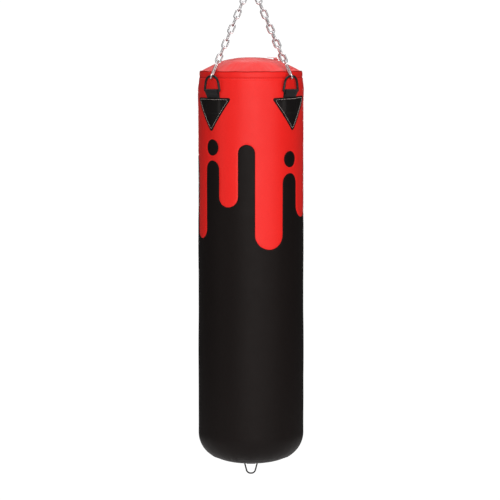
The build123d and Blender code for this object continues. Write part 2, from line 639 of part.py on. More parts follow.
def build():
    legs = {corner: Leg(corner) for corner in CORNERS}
    grooves = [rim_groove(leg) for leg in legs.values()]

    def creased(shape):
        for groove in grooves:
            shape -= groove
        return shape

    # Bag
    outer = creased(wall_layer(0, LEATHER, -HEM_HEIGHT))
    base_disc = drum(BASE_PANEL_R, BASE_Z - BASE_CORNER_R, BASE_Z + BASE_CORNER_R)
    save("base_panel", hang(outer & base_disc))
    shell = outer - base_disc
    dot_solids = []
    for angle, height in DOTS:
        punch = out_at(angle) * facing_out(Pos(0, height) * Circle(DOT_R))
        dot_solids.append(hang(shell & punch))
        shell -= punch
    zone = black_zone()
    save("shell_dots", *dot_solids)
    save("shell_black", hang(shell & zone))
    save("shell_red", hang(shell - zone))
    save("rim_band", hang(creased(tube(HEM_R - LEATHER, HEM_R, -HEM_HEIGHT, 0))))
    seams = [tube(HEM_R, HEM_R + STITCH_PROUD, z - STITCH / 2, z + STITCH / 2) for z in HEM_STITCHES]
    save("hem_stitches", *[hang(creased(seam)) for seam in seams])
    save("foam_liner", hang(creased(wall_layer(LEATHER, LEATHER + LINER, 0))))
    save("filling", hang(creased(stuffing())))
    front, back, tapes, teeth = zip_parts(creased(lid_layer()))
    save("lid_front", hang(front))
    save("lid_back", hang(back))
    save("zip_tapes", hang(tapes))
    save("zip_teeth", hang(teeth))
    save("zip_slider", hang(zip_slider()))
    save("zip_pull", hang(zip_pull()))
    pad, strap, ring = base_fittings()
    save("base_patch", hang(pad))
    save("base_strap", hang(strap))
    save("base_ring", hang(ring))

    # Corners and legs
    for corner, angle in CORNERS.items():
        leg = legs[corner]
        webbing = ring_strap(angle)
        save(f"d_ring_{corner}", hang(d_ring(angle)))
        save(f"strap_{corner}", hang(webbing))
        save(f"patch_{corner}", hang(patch(angle) - webbing))
        save(f"snap_hook_{corner}", hang(snap_hook(leg)))
        save(f"hook_gate_{corner}", hang(hook_gate(leg)))
        save(f"gate_pin_{corner}", hang(gate_pin(leg)))
        save(f"chain_{corner}", *[hang(leg.link(n)) for n in range(1, LINK_COUNT + 1)])
        pivot = leg.at(GATE_HIGH, -HOOK_INNER_R - HOOK_WIRE_R) + Vector(0, 0, RIM_Z)
        opening = leg.inwards.cross(leg.along)
        print(f"{corner}: leg {leg.length:.2f}, slack at each contact {leg.slack:.3f}")
        print(f"  gate pivot {tuple(pivot)}, axis that opens it {tuple(opening)}")
    save("patch_stitches", *[hang(patch_stitch(angle)) for angle in CORNERS.values()])

    # Shackle
    ear_face = BOW_R + SHACKLE_EAR / 2
    save("shackle_bow", shackle_bow())
    save("shackle_pin", shackle_pin())
    nut_plane = Plane(origin=(0, ear_face, PIN_Z), x_dir=(1, 0, 0), z_dir=(0, 1, 0))
    save("shackle_nut", hex_nut(nut_plane, NUT_R, PIN_R, NUT_HEIGHT))
    save("shackle_cotter", shackle_cotter())

    # Swivel
    save("swivel_eye", swivel_eye())
    save("swivel_housing", swivel_housing())
    lower = tube(SPINDLE_R + 1.5, CHAMBER_R - 0.2, FLOOR_TOP, FLOOR_TOP + RACE_THICK)
    upper = tube(SPINDLE_R, CHAMBER_R - 0.2, RACE_TOP - RACE_THICK, RACE_TOP)
    save("race_lower", lower - ball_groove())
    save("race_upper", upper - ball_groove())
    save("bearing_balls", *bearing_balls())
    save("spindle", spindle())
    save("spindle_nut", hex_nut(Plane.XY.offset(RACE_TOP), SPINDLE_NUT_R, SPINDLE_R, SPINDLE_NUT))
    print(f"rim {RIM_Z:.2f}, pin {PIN_Z:.2f}, swing {SWING_Z:.2f}, crown radius {crown_radius():.2f}")


build()
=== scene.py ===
"""The looks of a hanging heavy bag: leather skin over stuffing, webbing, stitches, chain legs and swivel.

Lengths are in millimetres until they become mesh points, in metres. Along the bag, s is the distance down
the skin from the rim, and an angle about the bag is counted from its front, positive towards +X.
"""

import math

import bpy
import mathutils
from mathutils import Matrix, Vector, kdtree, noise


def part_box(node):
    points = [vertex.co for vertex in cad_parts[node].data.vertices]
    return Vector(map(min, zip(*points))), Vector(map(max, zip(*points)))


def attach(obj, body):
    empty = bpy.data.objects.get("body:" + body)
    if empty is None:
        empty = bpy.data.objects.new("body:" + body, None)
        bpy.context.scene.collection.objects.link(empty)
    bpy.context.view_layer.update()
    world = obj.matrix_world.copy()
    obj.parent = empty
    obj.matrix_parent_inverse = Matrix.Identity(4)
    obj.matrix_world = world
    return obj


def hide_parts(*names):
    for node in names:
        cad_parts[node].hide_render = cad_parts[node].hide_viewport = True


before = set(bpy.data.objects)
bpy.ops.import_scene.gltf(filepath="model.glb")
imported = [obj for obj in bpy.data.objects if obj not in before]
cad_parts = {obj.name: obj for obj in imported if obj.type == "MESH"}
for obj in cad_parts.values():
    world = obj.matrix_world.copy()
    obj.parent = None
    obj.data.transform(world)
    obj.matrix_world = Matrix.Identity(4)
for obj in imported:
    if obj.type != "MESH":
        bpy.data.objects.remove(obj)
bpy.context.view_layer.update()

MM = 0.001

# ---- places taken from the frame
RIM_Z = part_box("rim_band")[1].z / MM
HEM_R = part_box("rim_band")[1].x / MM
BAG_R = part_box("shell_red")[1].x / MM
LOW_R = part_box("shell_black")[1].x / MM
BASE_Z = min(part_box("shell_black")[0].z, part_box("base_panel")[0].z) / MM - RIM_Z
PANEL_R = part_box("base_panel")[1].x / MM
LID_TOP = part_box("lid_front")[1].z / MM - RIM_Z
PIN_Z = (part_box("shackle_pin")[0].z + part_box("shackle_pin")[1].z) / 2 / MM - RIM_Z

# ---- the bag's sizes, as in the CAD model
SHOULDER = 60.0            # where the hem has widened to the full radius
BELLY_START = 400.0
CORNER_R = 82.0
DOME_R = 430.0
LEATHER = 1.8
DRIPS = [(-78.0, -56.8, 502.0), (-37.2, -14.9, 404.0), (3.7, 35.7, 531.0), (56.7, 82.9, 438.0),
         (103.0, 127.0, 470.0), (146.0, 176.0, 520.0), (196.0, 219.0, 400.0), (238.0, 263.0, 480.0)]
FINGER_TOPS = [265.0, 216.0, 303.0, 250.0, 285.0, 235.0, 300.0, 255.0]
DRIP_LINE = 360.0
DOTS = [(-47.0, 226.0), (46.1, 261.0), (136.5, 245.0), (228.5, 259.0)]
DOT_R = 24.5
INLAY = 0.7                # depth of the groove between two panels
BACK_SEAM = 161.0          # the skin's vertical seam, in the middle of a drip at the back
CORNERS = {"front_left": -45.0, "front_right": 45.0, "back_right": 135.0, "back_left": -135.0}
RING_OUT = 166.3
RING_BAR_Z = -57.0
RING_HEIGHT = 45.0
RING_LEAN = 1.7
RING_WIRE_R = 3.5
PIN_PLACES = {"front_left": -16.0, "front_right": -7.0, "back_left": 7.0, "back_right": 16.0}
HOOK_TURN = 11.0
HOOK_BEND = 11.0
HOOK_WIRE_R = 3.0
STRAP_WIDTH = 50.0
WEBBING = 2.4
STRAP_BOTTOM = -122.0
PATCH_TURN = 3.0           # how much nearer to the bag's side a patch lies than its D-ring
PATCH_TOP = -75.0
PATCH_APEX = -178.0
PATCH_HALF = 73.0
STITCH_INSET = 5.0
STITCH_CORNER = 3.4        # radius of the stitch line's corners
HEM_STITCHES = (17.5, 23.0)
SEWN_OFF = {"front_left": (0.0, 2.0), "front_right": (2.5, -0.5), "back_right": (0.5, 0.5),
            "back_left": (-0.5, 0.0)}       # tilt in degrees and drop in millimetres of each patch


# ---- small helpers
def smooth(x):
    x = min(1.0, max(0.0, x))
    return x * x * (3 - 2 * x)


def curve_through(points, x):
    """A smooth value at x on a curve through (x, y) points in rising x."""
    if x <= points[0][0]:
        return points[0][1]
    for i in range(len(points) - 1):
        x0, y0 = points[i]
        x1, y1 = points[i + 1]
        if x <= x1:
            before = points[max(i - 1, 0)]
            after = points[min(i + 2, len(points) - 1)]
            m0 = (y1 - before[1]) / (x1 - before[0])
            m1 = (after[1] - y0) / (after[0] - x0)
            w = x1 - x0
            t = (x - x0) / w
            return ((2 * t ** 3 - 3 * t ** 2 + 1) * y0 + (t ** 3 - 2 * t ** 2 + t) * w * m0
                    + (3 * t ** 2 - 2 * t ** 3) * y1 + (t ** 3 - t ** 2) * w * m1)
    return points[-1][1]


def around(angle, radius, height):
    """A point beside the bag, in millimetres with the rim at height 0."""
    turn = math.radians(angle)
    return Vector((radius * math.sin(turn), -radius * math.cos(turn), height))


def place(point):
    """From millimetres about the rim to metres in the row frame."""
    return Vector((point.x, point.y, point.z + RIM_Z)) * MM


def add_object(name, data):
    added = bpy.data.objects.new(name, data)
    bpy.context.scene.collection.objects.link(added)
    return added


def new_piece(name, points, faces, material, stands_for=(), flat=False):
    """A mesh object on the bag's body, that may stand for CAD nodes."""
    mesh = bpy.data.meshes.new(name)
    mesh.from_pydata([place(p) for p in points], [], faces)
    mesh.validate()
    piece = add_object(name, mesh)
    mesh.materials.append(material)
    if not flat:
        mesh.shade_smooth()
    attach(piece, "bag")
    if stands_for:
        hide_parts(*stands_for)
    return piece


def thicken(piece, thickness):
    """Give a sheet its thickness, inwards from the modelled side."""
    solid = piece.modifiers.new("thickness", "SOLIDIFY")
    solid.thickness = thickness * MM
    solid.offset = -1.0
    solid.use_even_offset = False


def ring_noise(angle, reach, layer):
    """Smooth noise round the bag: reach sets how fine it is, layer tells one pattern from another."""
    turn = math.radians(angle)
    return noise.noise(Vector((reach * math.sin(turn), reach * math.cos(turn), layer)))


def tube_faces(rings, sides, first=0, closed=False, flip=False):
    """Faces between rings of points, each ring with the same number of sides."""
    faces = []
    for r in range(rings if closed else rings - 1):
        here, ahead = first + r * sides, first + (r + 1) % rings * sides
        for k in range(sides):
            m = (k + 1) % sides
            if flip:
                faces.append((here + k, ahead + k, ahead + m, here + m))
            else:
                faces.append((here + k, here + m, ahead + m, ahead + k))
    return faces


def fan_faces(first, count, hub, flip=False):
    """Triangles from a ring of points to one hub."""
    faces = []
    for i in range(count):
        a, b = first + i, first + (i + 1) % count
        faces.append((b, a, hub) if flip else (a, b, hub))
    return faces


def grid_faces(columns, rows, first=0, flip=False):
    """Faces of an open grid, whose points are listed column by column."""
    faces = []
    for i in range(columns):
        for j in range(rows):
            a = first + i * (rows + 1) + j
            face = (a, a + rows + 1, a + rows + 2, a + 1)
            faces.append(tuple(reversed(face)) if flip else face)
    return faces


def pad_faces(triangles, low, boundary):
    """Faces of a closed pad: its top, the same triangles turned over from point low on, and its rim."""
    faces = [tuple(t) for t in triangles] + [tuple(n + low for n in reversed(t)) for t in triangles]
    for n in range(len(boundary)):
        a, b = boundary[n], boundary[(n + 1) % len(boundary)]
        faces.append((b, a, a + low, b + low))
    return faces


# ---- legs, where the hooks press the rim
class Leg:
    """Directions of one taut leg, from its D-ring's tip up to the shackle's pin."""

    def __init__(self, corner):
        angle = CORNERS[corner]
        tip = around(angle, RING_OUT + RING_LEAN, RING_BAR_Z + RING_HEIGHT)
        end = Vector((0, PIN_PLACES[corner], PIN_Z))
        self.along = (end - tip).normalized()
        turn = math.copysign(HOOK_TURN if abs(angle) < 90 else 180 - HOOK_TURN, angle)
        inwards = -around(turn, 1, 0)
        inwards = (inwards - self.along * inwards.dot(self.along)).normalized()
        self.wire = tip + inwards * HOOK_BEND
        press = -around(angle, 1, 0.35)
        self.press = (press - self.along * press.dot(self.along)).normalized()
        self.across = self.along.cross(self.press)


LEGS = {corner: Leg(corner) for corner in CORNERS}
PRESS_CLEARANCE = HOOK_WIRE_R + 1.3
PRESS_SPREAD = 9.0
PRESS_FROM = -30.0         # the stretch of a leg that presses the leather, counted up from the hook's bend
PRESS_TO = 60.0


def pressed(point, below=0.0):
    """The point pushed in under the hooks, as the leather gives way at the rim."""
    for leg in LEGS.values():
        offset = point - leg.wire
        across = offset.dot(leg.across)
        if abs(across) > 4 * PRESS_SPREAD or not PRESS_FROM < offset.dot(leg.along) < PRESS_TO:
            continue
        depth = offset.dot(leg.press)
        lack = PRESS_CLEARANCE + below - depth
        if lack > 0:
            point = point + leg.press * (lack * math.exp(-(across / PRESS_SPREAD) ** 2))
    return point


# ---- the skin's shape
DOME_CENTRE = BASE_Z + DOME_R
CORNER_IN = LOW_R - CORNER_R
LEAN = math.asin(CORNER_IN / (DOME_R - CORNER_R))
CORNER_Z = DOME_CENTRE - (DOME_R - CORNER_R) * math.cos(LEAN)
WALL_LENGTH = -CORNER_Z
CORNER_LENGTH = CORNER_R * (math.pi / 2 - LEAN)
SKIN_LENGTH = WALL_LENGTH + CORNER_LENGTH + DOME_R * LEAN
PANEL_ANGLE = math.asin((PANEL_R - CORNER_IN) / CORNER_R)
PANEL_S = WALL_LENGTH + CORNER_R * (math.pi / 2 - PANEL_ANGLE)
UNROLL_R = 160.0           # radius at which the skin is unrolled flat
HEM_TUCK = 1.3             # how far the shell's top edge lies inside the hem
BASE_SAG = [(0, 0), (35, 1.4), (55, 3.4), (70, 4.5), (85, 4.2), (105, 2.0), (125, 0)]
SWELL_SET = 1.4            # the waves lie on average this far inside the stated radius
PRESS_REACH = 70.0         # how far down the skin the hooks can press it
SKIN_PUFF = {}             # how far the stuffing swells the skin, from the cloth simulation


def base_sag(radius):
    """How far the filled base hangs below its plain dome."""
    return curve_through(BASE_SAG, radius)


def profile(s):
    """Radius, height and outward slope of the skin at a distance s from the rim."""
    if s < WALL_LENGTH:
        if s < SHOULDER:
            radius = HEM_R - HEM_TUCK + (BAG_R - HEM_R + HEM_TUCK) * smooth((s - 18) / (SHOULDER - 18))
        else:
            radius = BAG_R + (LOW_R - BAG_R) * smooth((s - BELLY_START) / (WALL_LENGTH - BELLY_START))
        return radius, -s, 0.0
    turn = (s - WALL_LENGTH) / CORNER_R
    if turn < math.pi / 2 - LEAN:
        radius = CORNER_IN + CORNER_R * math.cos(turn)
        return radius, CORNER_Z - CORNER_R * math.sin(turn) - base_sag(radius), turn
    left = LEAN - (s - WALL_LENGTH - CORNER_LENGTH) / DOME_R
    radius = DOME_R * math.sin(left)
    return radius, dome_height(radius), math.pi / 2 - left


def dome_height(radius):
    """Height of the base's leather inside its corner."""
    return DOME_CENTRE - math.sqrt(DOME_R ** 2 - radius ** 2) - base_sag(radius)


def swell(angle, s):
    """Uneven stuffing: long shallow waves, puckers under the hem and round the base seam."""
    wave = 1.5 * ring_noise(angle, 1.6, s / 210) + 0.55 * ring_noise(angle, 4.5, s / 70 + 9)
    fine = ring_noise(angle, 14, s / 160 + 31)
    near_hem = math.exp(-max(0.0, s - 20) / 28)
    near_base = math.exp(-abs(s - PANEL_S) / 26)
    body = (wave - SWELL_SET) * smooth((s - 25) / 80) * smooth((PANEL_S + 10 - s) / 120)
    return body + 0.9 * fine * near_hem + 1.1 * fine * near_base


def skin(angle, s, lift):
    """A point of the leather at an angle and a distance down the skin, lifted off its outer side."""
    radius, height, slope = profile(s)
    out = lift + swell(angle, s) + puffed(angle, s)
    point = around(angle, radius + out * math.cos(slope), height - out * math.sin(slope))
    if s < PRESS_REACH:
        point = pressed(point, -lift)
    return point


def puffed(angle, s):
    """The cloth simulation's swelling, read from its grid."""
    if not SKIN_PUFF:
        return 0.0
    columns, rows, step, heights = (SKIN_PUFF[k] for k in ("columns", "rows", "step", "heights"))
    a = (angle % 360) / 360 * columns
    b = min(max(s / step, 0.0), rows - 1.001)
    i, j = int(a), int(b)
    fa, fb = a - i, b - j
    low = heights[j][i % columns] * (1 - fa) + heights[j][(i + 1) % columns] * fa
    high = heights[j + 1][i % columns] * (1 - fa) + heights[j + 1][(i + 1) % columns] * fa
    return low * (1 - fb) + high * fb


# ---- cloth simulation
def blow_out(points, faces, held, pressure, cap, frames, stiffness):
    """Swell a closed skin with Blender's cloth and return each point's capped move, in millimetres."""
    mesh = bpy.data.meshes.new("stuffed")
    mesh.from_pydata([p * MM for p in points], [], faces)
    cloth_object = add_object("stuffed", mesh)
    group = cloth_object.vertex_groups.new(name="held")
    group.add(held, 1.0, "REPLACE")
    cloth = cloth_object.modifiers.new("cloth", "CLOTH")
    settings = cloth.settings
    settings.quality = 6
    settings.mass = 0.3
    settings.tension_stiffness = stiffness
    settings.compression_stiffness = stiffness
    settings.shear_stiffness = stiffness / 3
    settings.bending_stiffness = 0.6
    settings.use_pressure = True
    settings.uniform_pressure_force = pressure
    settings.effector_weights.gravity = 0.0
    settings.vertex_group_mass = "held"
    cloth.point_cache.frame_start = 1
    cloth.point_cache.frame_end = frames
    scene = bpy.context.scene
    for number in range(1, frames + 1):
        scene.frame_set(number)
    depsgraph = bpy.context.evaluated_depsgraph_get()
    result = cloth_object.evaluated_get(depsgraph).to_mesh()
    moves = []
    for vertex, start in zip(result.vertices, points):
        move = vertex.co / MM - start
        if move.length > cap:
            move = move.normalized() * cap
        moves.append(move)
    scene.frame_set(1)
    bpy.data.objects.remove(cloth_object)
    bpy.data.meshes.remove(mesh)
    return moves


def under_patch(angle, s):
    """Whether a spot of the skin is held by the patch sewn on it."""
    reach = 20 * (1 - (s - 76) / 105)
    return 70 < s < 180 and any(abs((angle - a + 180) % 360 - 180) < reach for a in CORNERS.values())


def stuff_skin():
    """Simulate the stuffed skin, held at its hem, at the base seam and under the four patches."""
    columns, step = 120, 14.0
    rows = int(PANEL_S / step) + 1
    start_inset = 2.0      # the skin starts this far in, because it swells
    most = 2.5             # and ends at most this far from its middle place
    points, held = [], []
    for j in range(rows):
        for i in range(columns):
            angle = 360 * i / columns
            radius, height, slope = profile(j * step)
            wave = swell(angle, j * step) - start_inset
            points.append(around(angle, radius + wave * math.cos(slope), height - wave * math.sin(slope)))
            if j < 2 or j >= rows - 1 or under_patch(angle, j * step):
                held.append(len(points) - 1)
    top_hub = len(points)
    points += [Vector((0, 0, LID_TOP / 2)), Vector((0, 0, BASE_Z))]
    held += [top_hub, top_hub + 1]
    faces = tube_faces(rows, columns, flip=True) + fan_faces(0, columns, top_hub)
    faces += fan_faces((rows - 1) * columns, columns, top_hub + 1, flip=True)
    moves = blow_out(points, faces, held, pressure=5.0, cap=9.0, frames=18, stiffness=18.0)
    heights = []
    for j in range(rows):
        slope = profile(j * step)[2]
        row = []
        for i in range(columns):
            out = around(360 * i / columns, math.cos(slope), -math.sin(slope))
            row.append(moves[j * columns + i].dot(out))
        heights.append(row)
    free = sorted(h for j in range(8, rows - 6) for h in heights[j])
    usual = free[len(free) // 2]
    for j, row in enumerate(heights):
        fade = smooth((j * step - 30) / 120) * smooth((PANEL_S - 20 - j * step) / 90)
        heights[j] = [min(most, max(-most, h - usual)) * fade for h in row]
    SKIN_PUFF.update(columns=columns, rows=rows, step=step, heights=heights)


# ---- materials
class Shader:
    """A Principled material and short ways to add nodes to it."""

    def __init__(self, name, color, roughness, metallic=0.0, specular=0.5):
        self.material = bpy.data.materials.new(name)
        self.material.use_nodes = True
        self.tree = self.material.node_tree
        self.shader = self.tree.nodes["Principled BSDF"]
        self.color = color
        self.shader.inputs["Base Color"].default_value = (*color, 1)
        self.shader.inputs["Roughness"].default_value = roughness
        self.shader.inputs["Metallic"].default_value = metallic
        self.shader.inputs["Specular IOR Level"].default_value = specular
        self.coordinates = self.node("ShaderNodeTexCoord").outputs["Object"]
        self.normal = None

    def node(self, kind, **values):
        node = self.tree.nodes.new(kind)
        for name, value in values.items():
            setattr(node, name, value)
        return node

    def link(self, output, target):
        self.tree.links.new(output, target)

    def stretched(self, x, y, z):
        mapping = self.node("ShaderNodeMapping")
        mapping.inputs["Scale"].default_value = (x, y, z)
        self.link(self.coordinates, mapping.inputs["Vector"])
        return mapping.outputs["Vector"]

    def noise(self, scale, detail=3.0, coordinates=None):
        node = self.node("ShaderNodeTexNoise")
        node.inputs["Scale"].default_value = scale
        node.inputs["Detail"].default_value = detail
        self.link(coordinates or self.coordinates, node.inputs["Vector"])
        return node.outputs["Fac"]

    def cells(self, scale, feature="DISTANCE_TO_EDGE"):
        node = self.node("ShaderNodeTexVoronoi", feature=feature)
        node.inputs["Scale"].default_value = scale
        self.link(self.coordinates, node.inputs["Vector"])
        return node.outputs["Distance"]

    def waves(self, scale, direction, distortion):
        node = self.node("ShaderNodeTexWave", bands_direction=direction)
        node.inputs["Scale"].default_value = scale
        node.inputs["Distortion"].default_value = distortion
        self.link(self.coordinates, node.inputs["Vector"])
        return node.outputs["Fac"]

    def ramp(self, value, low, high):
        node = self.node("ShaderNodeMapRange")
        node.inputs["To Min"].default_value = low
        node.inputs["To Max"].default_value = high
        self.link(value, node.inputs["Value"])
        return node.outputs["Result"]

    def tint(self, value, other, amount_low, amount_high):
        """Mix the colour so far with another one by a value."""
        mix = self.node("ShaderNodeMix", data_type="RGBA")
        amount = self.ramp(value, amount_low, amount_high)
        self.link(amount, mix.inputs["Factor"])
        base = self.shader.inputs["Base Color"]
        if base.links:
            self.link(base.links[0].from_socket, mix.inputs["A"])
        else:
            mix.inputs["A"].default_value = (*self.color, 1)
        mix.inputs["B"].default_value = (*other, 1)
        self.link(mix.outputs["Result"], base)

    def rough(self, value, low, high):
        self.link(self.ramp(value, low, high), self.shader.inputs["Roughness"])

    def bump(self, height, distance, strength):
        node = self.node("ShaderNodeBump")
        node.inputs["Distance"].default_value = distance * MM
        node.inputs["Strength"].default_value = strength
        self.link(height, node.inputs["Height"])
        if self.normal:
            self.link(self.normal, node.inputs["Normal"])
        self.normal = node.outputs["Normal"]
        self.link(self.normal, self.shader.inputs["Normal"])


def leather(name, color, lighter, roughness, specular, grain=0.17, creases=0.25):
    """Coated synthetic leather: pebble grain, soft creases and a slightly uneven sheen."""
    shader = Shader(name, color, roughness, specular=specular)
    patches = shader.noise(5.0, 2.0, shader.stretched(1, 1, 0.35))
    shader.tint(patches, lighter, 0.0, 0.9)
    shader.tint(shader.noise(240.0, 2.0), tuple(c * 0.75 for c in color), 0.0, 0.35)
    shader.rough(shader.noise(26.0, 4.0), roughness - 0.08, roughness + 0.10)
    shader.bump(shader.noise(22.0, 3.0, shader.stretched(1, 1, 0.45)), creases, 0.55)
    shader.bump(shader.cells(900.0), grain, 0.5)
    shader.bump(shader.noise(1700.0, 2.0), grain * 0.35, 0.35)
    return shader.material


def webbing_material(name, color, lighter):
    """Woven polyester tape: twill ribs across a fine weave."""
    shader = Shader(name, color, 0.75, specular=0.12)
    ribs = shader.waves(260.0, "Z", distortion=0.6)
    weave = shader.cells(760.0, feature="F1")
    shader.tint(ribs, lighter, 0.0, 0.7)
    shader.bump(ribs, 0.28, 0.8)
    shader.bump(weave, 0.18, 0.6)
    shader.shader.inputs["Sheen Weight"].default_value = 0.08
    return shader.material


def thread_material(name, color):
    shader = Shader(name, color, 0.55)
    twist = shader.waves(900.0, "DIAGONAL", distortion=0.4)
    shader.tint(twist, tuple(c * 0.6 for c in color), 0.0, 0.5)
    shader.bump(twist, 0.10, 0.6)
    return shader.material


def zinc_material(name, color, roughness):
    """Bright zinc plate, with faint drawing marks and duller spots."""
    shader = Shader(name, color, roughness, metallic=1.0)
    spots = shader.noise(130.0, 4.0)
    shader.tint(spots, tuple(c * 0.72 for c in color), 0.0, 0.8)
    shader.rough(shader.noise(420.0, 3.0), roughness - 0.07, roughness + 0.13)
    shader.bump(shader.noise(900.0, 3.0), 0.02, 0.5)
    return shader.material


def coat(name, color, lighter, specular):
    """Powder coat or moulded plastic: slightly uneven, with a fine orange peel."""
    shader = Shader(name, color, 0.36, specular=specular)
    shader.rough(shader.noise(90.0, 3.0), 0.26, 0.44)
    shader.tint(shader.noise(60.0, 3.0), lighter, 0.0, 0.8)
    shader.bump(shader.noise(1100.0, 2.0), 0.06, 0.5)
    return shader.material


def felt_material(name, color):
    shader = Shader(name, color, 0.9, specular=0.2)
    shader.tint(shader.noise(60.0, 5.0), tuple(c * 0.55 for c in color), 0.0, 1.0)
    shader.bump(shader.noise(160.0, 5.0), 1.2, 0.8)
    shader.shader.inputs["Sheen Weight"].default_value = 0.3
    return shader.material


def ground_steel():
    shader = Shader("ground_steel", (0.55, 0.55, 0.56), 0.25, metallic=1.0)
    marks = shader.noise(60.0, 2.0, shader.stretched(1, 1, 40))
    shader.rough(marks, 0.16, 0.38)
    shader.bump(marks, 0.02, 0.5)
    return shader.material


RED = leather("leather_red", (0.76, 0.0120, 0.0095), (0.84, 0.020, 0.015), 0.46, 0.22)
# The lid's leather is the red leather with a lighter base colour and a stronger specular. The lighter
# colour is painted light falling on the lid's top from above.
RED_LID_PAINTED_LIGHT = leather("leather_red_lid_painted_light", (0.82, 0.015, 0.012), (0.90, 0.024, 0.019), 0.46, 0.36,
                  creases=0.45)
# The piping's darker red is painted shade of the valley between the hem's top edge and the lid.
PIPING_PAINTED_SHADE = leather("leather_red_painted_shade", (0.36, 0.005, 0.004), (0.42, 0.007, 0.006), 0.55, 0.10)
BLACK = leather("leather_black", (0.0062, 0.0048, 0.0046), (0.0095, 0.0072, 0.0068), 0.50, 0.08)
PATCH = leather("leather_patch", (0.0050, 0.0044, 0.0044), (0.0075, 0.0066, 0.0064), 0.50, 0.12,
                grain=0.30)
WEB = webbing_material("webbing_black", (0.009, 0.009, 0.010), (0.018, 0.018, 0.020))
RED_TAPE = webbing_material("tape_red", (0.50, 0.012, 0.010), (0.66, 0.022, 0.018))
PALE_THREAD = thread_material("thread_pale", (0.50, 0.45, 0.43))
RED_THREAD = thread_material("thread_red", (0.30, 0.010, 0.010))
BLACK_THREAD = thread_material("thread_black", (0.02, 0.02, 0.02))
ZINC = zinc_material("zinc_bright", (0.82, 0.82, 0.84), 0.32)
CHAIN = zinc_material("zinc_chain", (0.82, 0.82, 0.84), 0.36)
COAT = coat("powder_black", (0.007, 0.007, 0.008), (0.013, 0.013, 0.014), 0.28)
RED_COAT = coat("paint_red", (0.50, 0.012, 0.010), (0.60, 0.020, 0.016), 0.30)
RED_PLASTIC = coat("zip_plastic_red", (0.52, 0.012, 0.010), (0.62, 0.020, 0.016), 0.25)
STEEL = ground_steel()
FELT = felt_material("felt_stuffing", (0.40, 0.38, 0.36))


# ---- outlines on the unrolled skin
def unrolled(angle):
    return math.radians(angle) * UNROLL_R


def drips_and_fingers():
    """Each drip and the finger after it, as left and right angle, end down the skin, and whether a drip."""
    columns = []
    for k, (left, right, end) in enumerate(DRIPS):
        after = DRIPS[(k + 1) % len(DRIPS)][0] + (360 if k == len(DRIPS) - 1 else 0)
        columns.append((left, right, end, True))
        columns.append((right, after, FINGER_TOPS[k], False))
    return columns


def drip_border(shift):
    """The line between red and black round the bag, from the back seam to the back seam.

    A shift moves it towards the red side, in millimetres.
    """
    columns = drips_and_fingers()
    start = next(i for i, c in enumerate(columns) if c[3] and c[0] < BACK_SEAM < c[1])
    columns = columns[start:] + columns[:start]
    points = []
    turn = 0.0
    last = None
    for left, right, end, is_drip in columns + [columns[0]]:
        if last is not None and left + turn < last - 1:
            turn += 360
        last = right + turn
        middle = unrolled((left + right) / 2 + turn)
        half = unrolled(right - left) / 2
        radius = half - shift if is_drip else half + shift
        centre = end - half if is_drip else end + half
        sign = 1 if is_drip else -1
        edge_points = [(middle - radius, DRIP_LINE)]
        straight = abs(centre - DRIP_LINE)
        for n in range(1, int(straight / 5)):
            edge_points.append((middle - radius, DRIP_LINE + (centre - DRIP_LINE) * n * 5 / straight))
        arc_steps = 2 * max(8, int(radius * math.pi / 2 / 4.5))
        arc = [(middle - radius * math.cos(math.pi * n / arc_steps),
                centre + sign * radius * math.sin(math.pi * n / arc_steps)) for n in range(arc_steps + 1)]
        down = [(2 * middle - x, y) for x, y in reversed(edge_points[1:])]
        points.append(edge_points + arc + down)
    low, high = unrolled(BACK_SEAM) - 0.01, unrolled(BACK_SEAM + 360) + 0.01
    return [p for column in points for p in column if low <= p[0] <= high]


def is_red(angle, s):
    """Whether a spot of the skin belongs to the red panel."""
    for left, right, end, is_drip in drips_and_fingers():
        a = (angle - left) % 360
        if a <= right - left:
            half = unrolled(right - left) / 2
            x = unrolled(a) - half
            bulge = half - math.sqrt(max(0.0, half * half - x * x))
            return s < (end - bulge if is_drip else end + bulge)
    return False


def dot_circle(angle, s, radius):
    count = 2 * int(radius * math.pi / 4.2)
    middle = unrolled(angle)
    turns = [2 * math.pi * n / count for n in range(count)]
    return [(middle + radius * math.cos(turn), s + radius * math.sin(turn)) for turn in turns]


